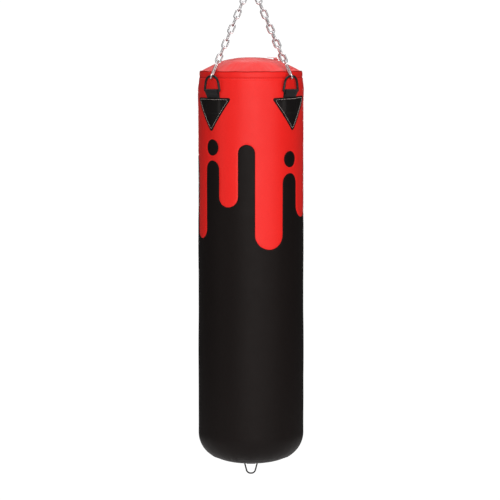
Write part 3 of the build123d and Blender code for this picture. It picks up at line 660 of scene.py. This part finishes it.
def skin_panels():
    """Triangulate the whole unrolled skin about its borders, and sort the triangles by panel."""
    seam = unrolled(BACK_SEAM)
    width = unrolled(360)
    points, edges, inlaid = [], [], []

    def chain(line, on_edge, closed=False):
        first = len(points)
        points.extend(Vector(p) for p in line)
        inlaid.extend([on_edge] * len(line))
        edges.extend((first + n, first + n + 1) for n in range(len(line) - 1))
        if closed:
            edges.append((first + len(line) - 1, first))

    beside = 1.3           # a line of points this far on each side of a border keeps its groove narrow
    for shift in (0.0, beside, -beside):
        on_edge = shift == 0.0
        chain(drip_border(shift), on_edge)
        for angle, s in DOTS:
            turned = angle if angle > BACK_SEAM else angle + 360
            chain(dot_circle(turned, s, DOT_R - shift), on_edge, closed=True)
    near = kdtree.KDTree(len(points))
    for number, point in enumerate(points):
        near.insert((point.x, point.y, 0), number)
    near.balance()
    top = 20.0
    columns = 170
    rows = int((PANEL_S - top) / 6.0)
    for j in range(rows + 1):
        for i in range(columns + 1):
            x, y = seam + width * i / columns, top + (PANEL_S - top) * j / rows
            on_seam = i in (0, columns)
            gap = near.find((x, y, 0))[2]
            if gap > 3.4 or (on_seam and gap > 0.5):
                points.append(Vector((x, y)))
                inlaid.append(False)
    result = mathutils.geometry.delaunay_2d_cdt(points, edges, [], 0, 1e-4)
    flat, triangles, origins = result[0], result[2], result[3]
    spots = []
    for point, origin in zip(flat, origins):
        spots.append((point.x, point.y, bool(origin) and inlaid[origin[0]]))
    panels = {"red": [], "black": [], "dots": []}
    for triangle in triangles:
        x = sum(spots[n][0] for n in triangle) / 3
        y = sum(spots[n][1] for n in triangle) / 3
        angle = math.degrees(x / UNROLL_R)
        in_dot = any(math.hypot(unrolled((angle - a + 180) % 360 - 180), y - s) < DOT_R for a, s in DOTS)
        panel = "dots" if in_dot else "red" if is_red(angle, y) else "black"
        panels[panel].append(tuple(triangle))
    return spots, panels


def wrapped_panel(name, spots, triangles, material, stands_for):
    used = sorted({n for t in triangles for n in t})
    number = {n: i for i, n in enumerate(used)}
    points = []
    for n in used:
        x, y, on_edge = spots[n]
        points.append(skin(math.degrees(x / UNROLL_R), y, -INLAY if on_edge else 0.0))
    faces = [tuple(number[n] for n in t) for t in triangles]
    piece = new_piece(name, points, faces, material, stands_for=stands_for)
    weld = piece.modifiers.new("seam", "WELD")
    weld.merge_threshold = 0.02 * MM
    thicken(piece, LEATHER)


def build_skin():
    spots, panels = skin_panels()
    wrapped_panel("skin_red", spots, panels["red"], RED, ["shell_red"])
    wrapped_panel("skin_black", spots, panels["black"], BLACK, ["shell_black"])
    wrapped_panel("skin_dots", spots, panels["dots"], BLACK, ["shell_dots"])


# ---- rows of stitches
def stitches(name, rows, material, stands_for=(), length=4.6, pitch=6.4, radius=0.55):
    """Thread along closed lines of (point, normal) pairs, dipping into the leather between stitches."""
    points, faces = [], []
    sides, rings = 6, 7
    for row in rows:
        pairs = row + [row[0]]
        lengths = [0.0]
        for a, b in zip(pairs, pairs[1:]):
            lengths.append(lengths[-1] + (b[0] - a[0]).length)
        total = lengths[-1]
        count = max(1, int(round(total / pitch)))

        def at(distance):
            distance = min(max(distance, 0.0), total - 1e-6)
            low = max(i for i, v in enumerate(lengths) if v <= distance)
            low = min(low, len(pairs) - 2)
            part = (distance - lengths[low]) / (lengths[low + 1] - lengths[low])
            spot = pairs[low][0].lerp(pairs[low + 1][0], part)
            normal = pairs[low][1].lerp(pairs[low + 1][1], part).normalized()
            return spot, normal

        for n in range(count):
            centre = (n + 0.5) * total / count
            first = len(points)
            for r in range(rings):
                part = 2 * r / (rings - 1) - 1
                spot, normal = at(centre + part * length / 2)
                ahead = at(centre + part * length / 2 + 0.4)[0]
                along = (ahead - at(centre + part * length / 2 - 0.4)[0]).normalized()
                side = along.cross(normal).normalized()
                thick = radius * math.sqrt(max(0.05, 1 - part ** 4))
                spot = spot + normal * (radius * (0.75 - 1.1 * part ** 4))
                for k in range(sides):
                    turn = 2 * math.pi * k / sides
                    off = side * (thick * math.cos(turn)) + normal * (thick * math.sin(turn))
                    points.append(spot + off)
            faces.extend(tube_faces(rings, sides, first))
            faces.append(tuple(first + k for k in reversed(range(sides))))
            faces.append(tuple(first + (rings - 1) * sides + k for k in range(sides)))
    new_piece(name, points, faces, material, stands_for=stands_for)


# ---- hem, lid, zip
LID_SHAPE = [(-37, 41.3), (0, LID_TOP - 0.6), (37, 41.2), (65, 36.8), (92, 30.6), (110, 22.8), (128, 13.6),
             (146, 4.2), (154, -0.6), (160, -4)]
ZIP_HALF = 84.0
TAPE_HALF = 10.0
TAPE_COVER = 2.0           # how far the lid's leather covers the tapes
LID_R = 155.2
TEETH_HALF = 2.6
HEM_IN = 0.9               # the hem lies this far inside the stated radius, before its puckers
THREAD_SUNK = 0.5
# The piping's cord, whose dark red is painted shade along the lid's edge.
PIPING_R = 1.5
PIPING_IN = 2.6
PIPING_UP = 0.9


def lid_height(x, y):
    """Height of the lid over a point, with gathers and shallow dips towards its edge; lid_point adds the
    dips where the hooks lie.
    """
    radius = math.hypot(x, y)
    angle = math.degrees(math.atan2(x, -y))
    height = curve_through(LID_SHAPE, radius)
    edge = smooth((radius - 70) / 75)
    height += edge * (2.2 * ring_noise(angle, 3.2, 4) + 0.8 * ring_noise(angle, 13, radius / 40))
    height += 1.6 * noise.noise(Vector((x / 55, y / 55, 2))) * (1 - edge) * smooth(abs(y) / 30)
    if radius > 120:
        height -= 1.2 * smooth((radius - 120) / 30) * max(0.0, ring_noise(angle, 6, 8))
    return height


def lid_point(x, y):
    return pressed(Vector((x, y, lid_height(x, y))))


def lid_half(name, side, node):
    """One half of the lid, with a straight edge along the zip, as strips from the middle to the rim."""
    points = []
    columns, rows = 150, 34
    for i in range(columns + 1):
        turn = math.pi * i / columns
        out = Vector((math.cos(turn), side * math.sin(turn)))
        start = min(ZIP_HALF + 2, (TAPE_HALF - TAPE_COVER) / max(1e-6, abs(out.y)))
        begin = out * start
        if start >= ZIP_HALF:
            end = ZIP_HALF + 1
            begin = Vector((math.copysign(end, out.x), side * abs(end * math.tan(turn))))
        for j in range(rows + 1):
            spot = begin.lerp(out * LID_R, j / rows)
            points.append(lid_point(spot.x, spot.y))
    faces = []
    for i in range(columns):
        for j in range(rows):
            a = i * (rows + 1) + j
            face = (a, a + 1, a + rows + 2, a + rows + 1)
            faces.append(face if side > 0 else tuple(reversed(face)))
    # The lid's lighter red is painted light from above.
    piece = new_piece(name, points, faces, RED_LID_PAINTED_LIGHT, stands_for=[node])
    thicken(piece, LEATHER)


def hem_waves(angle):
    """How far the hem puckers outwards and how far its top edge sinks, at an angle about the bag."""
    pucker = 0.3 * ring_noise(angle, 26, 3) + 0.36 * ring_noise(angle, 7, 5)
    return pucker, 0.8 * ring_noise(angle, 5, 12)


def build_lid_seam():
    """Piping sewn between the hem's top edge and the lid, in darker red leather: painted shade of the
    valley there.
    """
    points = []
    columns, sides = 320, 8
    for i in range(columns):
        angle = 360 * i / columns
        sink = hem_waves(angle)[1]
        centre = around(angle, HEM_R - PIPING_IN, PIPING_UP + sink)
        out = around(angle, 1, 0)
        for k in range(sides):
            turn = 2 * math.pi * k / sides
            point = centre + out * (PIPING_R * math.cos(turn)) + Vector((0, 0, PIPING_R * math.sin(turn)))
            points.append(pressed(point, PIPING_R))
    faces = tube_faces(columns, sides, closed=True, flip=True)
    new_piece("lid_seam_painted_shade", points, faces, PIPING_PAINTED_SHADE)


def build_hem():
    """The doubled band round the rim, rolled over at its top and sunk along its two stitch lines."""
    columns = 300
    grooves = [[(row + 0.6, -0.15), (row, -0.55), (row - 0.6, -0.15)] for row in HEM_STITCHES]
    section = [(26.4, -1.4), (26.6, -0.2), (25.8, 0.35), (24.4, 0.3), *grooves[1],
               (21.6, 0.35), (20.2, 0.45), (18.8, 0.3), *grooves[0],
               (16.0, 0.3), (13.0, 0.55), (9.0, 0.6), (5.0, 0.5), (2.4, 0.2), (0.9, -0.15), (0.1, -0.9),
               (-0.3, -1.8), (0.1, -2.8), (1.2, -3.4), (5.0, -3.4), (26.4, -3.2)]
    points = []
    for i in range(columns):
        angle = 360 * i / columns
        pucker, sink = hem_waves(angle)
        for s, lift in section:
            out = HEM_R - HEM_IN + lift + pucker * smooth(s / 10)
            point = around(angle, out, -s + sink * (1 - smooth(s / 14)))
            points.append(pressed(point, -lift))
    faces = [tuple(reversed(face)) for face in tube_faces(columns, len(section), closed=True, flip=True)]
    piece = new_piece("hem_band", points, faces, RED, stands_for=["rim_band"])
    rows = []
    for s in HEM_STITCHES:
        row = []
        for i in range(360):
            spot = around(i, HEM_R - HEM_IN - THREAD_SUNK + hem_waves(i)[0], -s)
            row.append((pressed(spot, THREAD_SUNK), around(i, 1, 0)))
        rows.append(row)
    stitches("hem_stitches_sewn", rows, RED_THREAD, ["hem_stitches"])


def build_zip():
    """Two woven tapes and the closed teeth between them, on the crown's curve."""
    for side in (-1, 1):
        points = []
        columns, rows = 84, 6
        for i in range(columns + 1):
            x = ZIP_HALF * (2 * i / columns - 1)
            for j in range(rows + 1):
                y = side * (TEETH_HALF - 0.4 + (TAPE_HALF + 1.5 - TEETH_HALF) * j / rows)
                points.append(Vector((x, y, lid_height(x, 0) - 1.1)))
        faces = grid_faces(columns, rows, flip=side < 0)
        name = "zip_tape_back" if side > 0 else "zip_tape_front"
        tape = new_piece(name, points, faces, RED_TAPE, stands_for=["zip_tapes"])
        thicken(tape, 1.0)
    points, faces = [], []
    pitch, end_gap = 3.0, 3.0
    shape = [(-1.1, -0.3), (1.1, -0.3), (0.9, 0.75), (0.45, 1.15), (-0.45, 1.15), (-0.9, 0.75)]
    count = len(shape)
    for n in range(int(2 * (ZIP_HALF - end_gap) / pitch)):
        x = -ZIP_HALF + end_gap + n * pitch
        side = 1 if n % 2 else -1
        height = lid_height(x, 0)
        first = len(points)
        for y in (side * -1.5, side * 0.2, side * 2.5):
            size = 0.8 if y == side * -1.5 else 1.0
            points.extend(Vector((x + dx * size, y, height - 0.3 + dz * size)) for dx, dz in shape)
        faces.extend(face if side < 0 else tuple(reversed(face)) for face in tube_faces(3, count, first))
        ends = (range(first, first + count), reversed(range(first + 2 * count, first + 3 * count)))
        faces.extend(tuple(end) if side > 0 else tuple(reversed(tuple(end))) for end in ends)
    new_piece("zip_teeth_closed", points, faces, RED_PLASTIC,
              stands_for=["zip_teeth"], flat=True)


# ---- base
def build_base():
    """The round base panel, gathered slightly at its seam, with a welt round it."""
    points = []
    columns, rows = 150, 26
    for j in range(rows):
        s = PANEL_S + (SKIN_LENGTH - PANEL_S) * j / rows
        for i in range(columns):
            points.append(skin(360 * i / columns, s, -0.6 * (1 - smooth((s - PANEL_S) / 4))))
    hub = len(points)
    points.append(Vector((0, 0, BASE_Z)))
    faces = tube_faces(rows, columns, flip=True) + fan_faces(hub - columns, columns, hub, flip=True)
    panel = new_piece("base_leather", points, faces, BLACK, stands_for=["base_panel"])
    thicken(panel, LEATHER)
    points = []
    columns, sides, radius = 260, 8, 1.5
    for i in range(columns):
        angle = 360 * i / columns
        slope = profile(PANEL_S)[2]
        spot = skin(angle, PANEL_S, 0.3)
        out = around(angle, math.cos(slope), -math.sin(slope))
        along = around(angle, -math.sin(slope), -math.cos(slope))
        for k in range(sides):
            turn = 2 * math.pi * k / sides
            points.append(spot + out * (radius * math.cos(turn)) + along * (radius * math.sin(turn)))
    faces = tube_faces(columns, sides, closed=True, flip=True)
    new_piece("base_welt", points, faces, PATCH)


# ---- patches and webbing
def corner_point(angle, across, out, height):
    """A point at a corner: across along the wall, out from the bag's axis."""
    return around(angle + math.degrees(across / BAG_R), out, height)


def triangle_loop(inset, corner_r, step):
    """Points round the patch's outline, set in from its edge, with round corners."""
    half_angle = math.atan(PATCH_HALF / (PATCH_TOP - PATCH_APEX))
    top = PATCH_TOP - inset
    apex = PATCH_APEX + inset / math.sin(half_angle)
    half = (top - apex) * math.tan(half_angle)
    corners = [Vector((-half, top)), Vector((0, apex)), Vector((half, top))]
    loop = []
    for n in range(3):
        here, before, after = corners[n], corners[n - 1], corners[(n + 1) % 3]
        to_before, to_after = (before - here).normalized(), (after - here).normalized()
        opening = to_before.angle(to_after)
        reach = corner_r / math.tan(opening / 2)
        centre = here + (to_before + to_after).normalized() * (corner_r / math.sin(opening / 2))
        first, last = here + to_before * reach, here + to_after * reach
        turn = math.pi - opening
        steps = max(2, int(turn * corner_r / 2.5))
        a0 = math.atan2(first.y - centre.y, first.x - centre.x)
        for k in range(steps + 1):
            a = a0 + turn * k / steps
            loop.append(centre + Vector((math.cos(a), math.sin(a))) * corner_r)
        next_corner = corners[(n + 1) % 3]
        back = (here - next_corner).normalized()
        next_open = back.angle((corners[(n + 2) % 3] - next_corner).normalized())
        end = next_corner + back * (corner_r / math.tan(next_open / 2))
        length = (end - last).length
        pieces = max(1, int(length / step))
        for k in range(1, pieces):
            loop.append(last.lerp(end, k / pieces))
    return loop


def patch_rise(edge_distance):
    """Height of the patch over what it lies on: a rolled edge, a sunk stitch line, a soft middle."""
    rolled = [(0, 1.6), (0.5, 2.9), (1.4, 3.9), (2.6, 4.0), (4.0, 3.0), (STITCH_INSET, 2.2), (6.2, 2.7),
              (9, 3.4), (16, 3.8), (34, 3.8)]
    return curve_through(rolled, edge_distance)


def over_strap(across, height):
    """How far the strap under the patch lifts it."""
    side = smooth((STRAP_WIDTH / 2 + 5 - abs(across)) / 8)
    end = smooth((height - (STRAP_BOTTOM - 5)) / 8)
    return 2 * WEBBING * side * end


def patch_angle(angle):
    to_side = 1 if abs(angle) < 90 else -1
    return angle + math.copysign(PATCH_TURN, angle) * to_side


def sewn(spot, corner):
    """A patch's point as it was sewn on: turned about the middle of the patch's top, and dropped."""
    tilt, drop = SEWN_OFF[corner]
    turn = math.radians(tilt)
    x, y = spot.x, spot.y - PATCH_TOP
    return Vector((x * math.cos(turn) - y * math.sin(turn),
                   PATCH_TOP - drop + x * math.sin(turn) + y * math.cos(turn)))


def build_patches():
    """Four padded triangles over the straps, each with a row of pale stitches round it."""
    rings = [(0.0, 5.0), (0.5, 5.0), (1.4, 4.7), (2.6, 4.3), (4.0, 3.8), (STITCH_INSET, STITCH_CORNER),
             (6.2, 3.1), (9.0, 2.7), (13.0, 2.3), (18.0, 2.0), (24.0, 1.6), (30.0, 1.2)]
    loops = [triangle_loop(inset, corner, 3.0 + inset / 12) for inset, corner in rings]
    flat, edges, insets = [], [], []
    for (inset, _), loop in zip(rings, loops):
        first = len(flat)
        flat.extend(loop)
        insets.extend([inset] * len(loop))
        edges.extend((first + n, first + (n + 1) % len(loop)) for n in range(len(loop)))
    cut = mathutils.geometry.delaunay_2d_cdt(flat, edges, [], 1, 1e-4)
    spots, triangles, origins = cut[0], cut[2], cut[3]
    depth = [insets[o[0]] if o else rings[-1][0] for o in origins]
    boundary = [n for n, d in enumerate(depth) if d == 0.0]
    ordered = sorted(boundary, key=lambda n: origins[n][0])
    rise = [patch_rise(d) for d in depth]
    rise = puffed_patch(spots, triangles, depth, rise, ordered)
    stitch_loop = triangle_loop(STITCH_INSET, STITCH_CORNER, 3.0)
    rows = []
    for corner, ring_angle in CORNERS.items():
        angle = patch_angle(ring_angle)
        strap_shift = math.radians(ring_angle - angle) * BAG_R
        top, under = [], []
        for spot, up in zip((sewn(point, corner) for point in spots), rise):
            lifted = over_strap(spot.x - strap_shift, spot.y)
            top.append(corner_point(angle, spot.x, BAG_R + up + lifted, spot.y))
            under.append(corner_point(angle, spot.x, BAG_R + 0.15 + 0.98 * lifted, spot.y))
        points, faces = top + under, pad_faces(triangles, len(top), ordered)
        piece = new_piece(f"patch_leather_{corner}", points, faces, PATCH,
                          stands_for=[f"patch_{corner}"])
        level_normals(piece)
        row = []
        for spot in (sewn(point, corner) for point in stitch_loop):
            lift = 2.05 + over_strap(spot.x - strap_shift, spot.y)
            out = around(angle + math.degrees(spot.x / BAG_R), 1, 0)
            row.append((corner_point(angle, spot.x, BAG_R + lift, spot.y), out))
        rows.append(row)
    stitches("patch_stitches_sewn", rows, PALE_THREAD, ["patch_stitches"],
             length=4.2, pitch=5.6, radius=0.75)


def level_normals(piece):
    """Face every face outwards."""
    bpy.context.view_layer.objects.active = piece
    bpy.ops.object.select_all(action="DESELECT")
    piece.select_set(True)
    bpy.ops.object.mode_set(mode="EDIT")
    bpy.ops.mesh.select_all(action="SELECT")
    bpy.ops.mesh.normals_make_consistent(inside=False)
    bpy.ops.object.mode_set(mode="OBJECT")


def puffed_patch(spots, triangles, depth, rise, boundary):
    """Simulate one patch as a small stuffed pad, held along its edge and its stitch line."""
    points = [Vector((s.x, -up, s.y)) for s, up in zip(spots, rise)]
    low = len(points)
    points += [Vector((s.x, 0.0, s.y)) for s in spots]
    held = [n for n, d in enumerate(depth) if d < 0.5 or abs(d - STITCH_INSET) < 0.5]
    held += range(low, 2 * low)
    faces = pad_faces(triangles, low, boundary)
    moves = blow_out(points, faces, held, pressure=6.0, cap=1.6, frames=14, stiffness=30.0)
    return [up - moves[n].y for n, up in enumerate(rise)]


def webbing_band(name, path, width, across_dir, out_shift, stands_for):
    """Flat tape along a path of (out, height) points, with soft edges and a slight rib across it."""
    points = []
    half, side, soft = WEBBING / 2, width / 2, 0.8
    low_side = [(-side, -half * 0.4), (-side + soft, -half), (-side / 2, -half), (0, -half),
                (side / 2, -half), (side - soft, -half), (side, -half * 0.4)]
    section = low_side + [(across, -off) for across, off in reversed(low_side)]
    count = len(section)
    for n, (out, height) in enumerate(path):
        ahead = path[min(n + 1, len(path) - 1)]
        behind = path[max(n - 1, 0)]
        run = Vector((ahead[0] - behind[0], ahead[1] - behind[1])).normalized()
        normal = Vector((run.y, -run.x))
        rib = 1.0 + 0.06 * (n % 2)
        for across, off in section:
            spot = (out + normal.x * off * rib, height + normal.y * off * rib)
            points.append(across_dir(across, spot[0] + out_shift(across, height), spot[1]))
    faces = tube_faces(len(path), count)
    faces.append(tuple(reversed(range(count))))
    faces.append(tuple((len(path) - 1) * count + k for k in range(count)))
    piece = new_piece(name, points, faces, WEB, stands_for=stands_for)
    level_normals(piece)


def fine_path(points, step):
    """Points at about equal steps along a broken line."""
    result = [points[0]]
    for a, b in zip(points, points[1:]):
        length = math.hypot(b[0] - a[0], b[1] - a[1])
        pieces = max(1, int(round(length / step)))
        for k in range(1, pieces + 1):
            result.append((a[0] + (b[0] - a[0]) * k / pieces, a[1] + (b[1] - a[1]) * k / pieces))
    return result


def build_straps():
    """Webbing doubled round each D-ring's bar, its two ends flat on the wall under the patch."""
    loop_r = RING_WIRE_R + 0.25 + WEBBING / 2
    for corner, angle in CORNERS.items():
        inner = BAG_R + WEBBING / 2 + 0.1
        start = [(inner, STRAP_BOTTOM + 6), (inner, RING_BAR_Z - 12), (RING_OUT - loop_r, RING_BAR_Z - 2)]
        arc = []
        for k in range(1, 19):
            turn = math.pi - math.pi * 1.02 * k / 18
            arc.append((RING_OUT + loop_r * math.cos(turn), RING_BAR_Z + loop_r * math.sin(turn)))
        outer = BAG_R + 1.5 * WEBBING + 0.2
        end = [(RING_OUT + loop_r - 0.4, RING_BAR_Z - 4), (outer + 2.6, RING_BAR_Z - 13),
               (outer, RING_BAR_Z - 22), (outer, STRAP_BOTTOM + 1)]
        path = fine_path(start + arc + end, 1.3)
        tangent = around(angle + 90, 1, 0)
        straight = around(angle, 1, 0)

        def spot(across, out, height):
            return straight * out + tangent * across + Vector((0, 0, height))

        def settle(across, height):
            """The strap is flat at the bar and lies round the wall lower down."""
            curve = BAG_R - math.sqrt(BAG_R ** 2 - across ** 2)
            return -curve * smooth((RING_BAR_Z - 2 - height) / 18)

        webbing_band(f"webbing_{corner}", path, STRAP_WIDTH, spot, settle, [f"strap_{corner}"])


def build_base_loop():
    """The square patch under the base and the webbing that holds the base ring."""
    bar_r = 2.3            # radius of the base ring's wire
    bar_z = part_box("base_ring")[1].z / MM - RIM_Z - bar_r
    half = 45.0            # half the side of the square patch
    inset = 6.0            # of its stitches
    points = []
    count = 30
    for layer in (0, 1):
        for j in range(count + 1):
            for i in range(count + 1):
                x, y = half * (2 * i / count - 1), half * (2 * j / count - 1)
                radius = math.hypot(x, y)
                edge = min(half - abs(x), half - abs(y))
                under = dome_height(radius)
                groove = 0.5 * math.exp(-((edge - inset) / 1.2) ** 2)
                thick = 0.0 if layer else 0.6 + 1.3 * smooth(edge / 3) - groove
                points.append(Vector((x, y, under - thick)))
    size = (count + 1) ** 2
    faces = grid_faces(count, count) + grid_faces(count, count, first=size, flip=True)
    rim = list(range(count + 1)) + [(j + 1) * (count + 1) + count for j in range(count)]
    rim += [count * (count + 1) + i for i in reversed(range(count))]
    rim += [j * (count + 1) for j in reversed(range(1, count))]
    for n in range(len(rim)):
        a, b = rim[n], rim[(n + 1) % len(rim)]
        faces.append((a, b, b + size, a + size))
    patch = new_piece("base_patch_leather", points, faces, PATCH,
                      stands_for=["base_patch"])
    level_normals(patch)
    row = []
    inner = half - inset
    square = [Vector(p) for p in ((-inner, -inner), (inner, -inner), (inner, inner), (-inner, inner))]
    for n in range(4):
        for k in range(20):
            spot = square[n].lerp(square[(n + 1) % 4], k / 20)
            row.append((Vector((spot.x, spot.y, dome_height(spot.length) - 1.5)), Vector((0, 0, -1))))
    stitches("base_stitches_sewn", [row], BLACK_THREAD, length=4.2, pitch=5.8)
    loop_r = bar_r + 0.2 + WEBBING / 2
    flat_z = bar_z + 2.5 + WEBBING / 2

    def band_height(y):
        return dome_height(abs(y)) - 2.0 - WEBBING / 2 - 0.2

    left = [(y, band_height(y)) for y in (-31, -20, -9)] + [(-loop_r - 1, flat_z - 0.6)]
    arc = []
    for k in range(19):
        turn = math.pi + math.pi * k / 18
        arc.append((loop_r * math.cos(turn), bar_z + loop_r * math.sin(turn)))
    right = [(-y, z) for y, z in reversed(left)]
    path = fine_path(left + arc + right, 1.3)

    def spot(across, out, height):
        return Vector((across, out, height))

    webbing_band("base_webbing", path, 26.0, spot, lambda across, height: 0.0, ["base_strap"])


# ---- what is inside
STUFFING_IN = 7.5          # how far the stuffing lies inside the leather's outer side
STUFFING_R = 146.0         # its radius where it meets the lid


def build_stuffing():
    """The felt-wrapped stuffing, just inside the leather."""
    points = []
    columns, rows, crown_rings = 96, 90, 12
    for j in range(rows + 1):
        s = 2 + (SKIN_LENGTH - 8) * j / rows
        for i in range(columns):
            angle = 360 * i / columns
            points.append(skin(angle, s, 1.6 * ring_noise(angle, 4, s / 60) - STUFFING_IN))
    low_hub = len(points)
    points.append(Vector((0, 0, BASE_Z + STUFFING_IN)))
    faces = tube_faces(rows + 1, columns, flip=True)
    faces += fan_faces(rows * columns, columns, low_hub, flip=True)
    rings = [0]
    for ring in range(1, crown_rings):
        rings.append(len(points))
        for i in range(columns):
            spot = around(360 * i / columns, STUFFING_R * (1 - ring / crown_rings), 0)
            points.append(Vector((spot.x, spot.y, lid_height(spot.x, spot.y) - STUFFING_IN - 0.5)))
    for outer, inner in zip(rings, rings[1:]):
        for i in range(columns):
            k = (i + 1) % columns
            faces.append((outer + k, inner + k, inner + i, outer + i))
    faces += fan_faces(rings[-1], columns, len(points))
    points.append(Vector((0, 0, LID_TOP - STUFFING_IN - 1)))
    roll = new_piece("stuffing_roll", points, faces, FELT,
                     stands_for=["filling", "foam_liner"])
    level_normals(roll)


# ---- metal carried over from the CAD model
def finish_metal():
    """Give each metal node its finish."""
    finishes = {}
    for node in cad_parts:
        if node.startswith("chain_"):
            finishes[node] = CHAIN
        elif node.startswith(("snap_hook_", "hook_gate_", "shackle_", "swivel_", "spindle")):
            finishes[node] = ZINC
        elif node in ("zip_slider", "zip_pull"):
            finishes[node] = RED_COAT
        elif node.startswith("d_ring_") or node == "base_ring":
            finishes[node] = COAT
        elif node.startswith(("race_", "bearing_", "gate_pin_")):
            finishes[node] = STEEL
    for node, material in finishes.items():
        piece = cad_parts[node]
        piece.data.materials.clear()
        piece.data.materials.append(material)


# ---- studio and camera
VIEW_TURN = -0.75          # the camera stands slightly to the left of the bag's front
CAMERA_DISTANCE = 7.5
CAMERA_ABOVE_RIM = 0.100
AIM_BELOW_RIM = 0.5445
AIM_LEFT = 0.0029
FRAME_WIDTH = 1.529        # width of the view at the bag, in metres
SENSOR = 36.0
WARM = (1.0, 0.93, 0.90)
FLOOR_BELOW = 0.35         # the bag hangs this far above the floor, in metres
FLOOR_R = 1.6
FLOOR_GLOW = 0.40
BAG_AIM_Z = -0.95          # heights the lights aim at, in metres in the row frame
LID_AIM_Z = -0.40
AMBIENT = 0.10
BACKDROP = 1.05


def point_at(thing, target):
    """Turn a light or the camera towards a point, and say how far off that is."""
    direction = target - thing.location
    thing.rotation_euler = direction.to_track_quat("-Z", "Y").to_euler()
    return direction.length


def area_light(name, angle, elevation, distance, width, height, power, color=(1, 1, 1), aim_z=BAG_AIM_Z):
    """A rectangular light round the bag at an angle and an elevation, in metres and watts."""
    data = bpy.data.lights.new(name, "AREA")
    data.shape = "RECTANGLE"
    data.size = width
    data.size_y = height
    data.energy = power
    data.color = color
    light = add_object(name, data)
    turn, rise = math.radians(angle), math.radians(elevation)
    away = distance * math.cos(rise)
    light.location = (away * math.sin(turn), -away * math.cos(turn), aim_z + distance * math.sin(rise))
    point_at(light, Vector((0, 0, aim_z)))


def build_studio():
    """A white backdrop for the camera, a faint soft light for the rest, a pale floor and six lights."""
    scene = bpy.context.scene
    scene.view_settings.view_transform = "Standard"
    scene.view_settings.look = "None"
    world = bpy.data.worlds.new("studio")
    scene.world = world
    world.use_nodes = True
    tree = world.node_tree
    tree.nodes.clear()
    output = tree.nodes.new("ShaderNodeOutputWorld")
    mix = tree.nodes.new("ShaderNodeMixShader")
    ray = tree.nodes.new("ShaderNodeLightPath")
    tree.links.new(ray.outputs["Is Camera Ray"], mix.inputs["Fac"])
    for number, strength in ((1, AMBIENT), (2, BACKDROP)):
        white = tree.nodes.new("ShaderNodeBackground")
        white.inputs["Color"].default_value = (1, 1, 1, 1)
        white.inputs["Strength"].default_value = strength
        tree.links.new(white.outputs["Background"], mix.inputs[number])
    tree.links.new(mix.outputs["Shader"], output.inputs["Surface"])
    floor_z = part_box("base_ring")[0].z - FLOOR_BELOW
    sides = 96
    turns = [2 * math.pi * n / sides for n in range(sides)]
    ring = [(FLOOR_R * math.cos(turn), FLOOR_R * math.sin(turn), floor_z) for turn in turns]
    mesh = bpy.data.meshes.new("floor")
    mesh.from_pydata(ring, [], [tuple(range(sides))])
    floor = add_object("floor", mesh)
    pale = Shader("floor_pale", (0.92, 0.92, 0.92), 0.8, specular=0.1)
    pale.shader.inputs["Emission Color"].default_value = (1, 1, 1, 1)
    pale.shader.inputs["Emission Strength"].default_value = FLOOR_GLOW
    mesh.materials.append(pale.material)
    area_light("front_wide", 2, 7, 5.5, 4.4, 3.6, 238, WARM)
    area_light("right_strip", 40, 9, 3.6, 0.7, 2.6, 30, WARM)
    area_light("left_side", -66, 6, 3.8, 1.2, 2.6, 14, WARM)
    area_light("top_soft", 6, 76, 2.4, 1.8, 1.8, 42, aim_z=LID_AIM_Z)
    area_light("top_behind", 180, 38, 3.0, 2.4, 1.4, 22, aim_z=LID_AIM_Z)
    area_light("back_low", 180, 0, 5.0, 2.6, 0.9, 80, WARM)


def build_camera():
    """The photo's view: level with the rim, slightly above it, from a little to the left."""
    data = bpy.data.cameras.new("camera")
    data.sensor_width = SENSOR
    data.clip_end = 200.0
    camera = add_object("camera", data)
    turn = math.radians(VIEW_TURN)
    rim = RIM_Z * MM
    camera.location = (CAMERA_DISTANCE * math.sin(turn), -CAMERA_DISTANCE * math.cos(turn),
                       rim + CAMERA_ABOVE_RIM)
    distance = point_at(camera, Vector((-AIM_LEFT, 0, rim - AIM_BELOW_RIM)))
    data.lens = SENSOR * distance / FRAME_WIDTH
    bpy.context.scene.camera = camera


build_camera()
build_studio()
stuff_skin()
build_skin()
build_hem()
build_lid_seam()
lid_half("lid_leather_front", -1, "lid_front")
lid_half("lid_leather_back", 1, "lid_back")
build_zip()
build_base()
build_patches()
build_straps()
build_base_loop()
build_stuffing()
finish_metal()
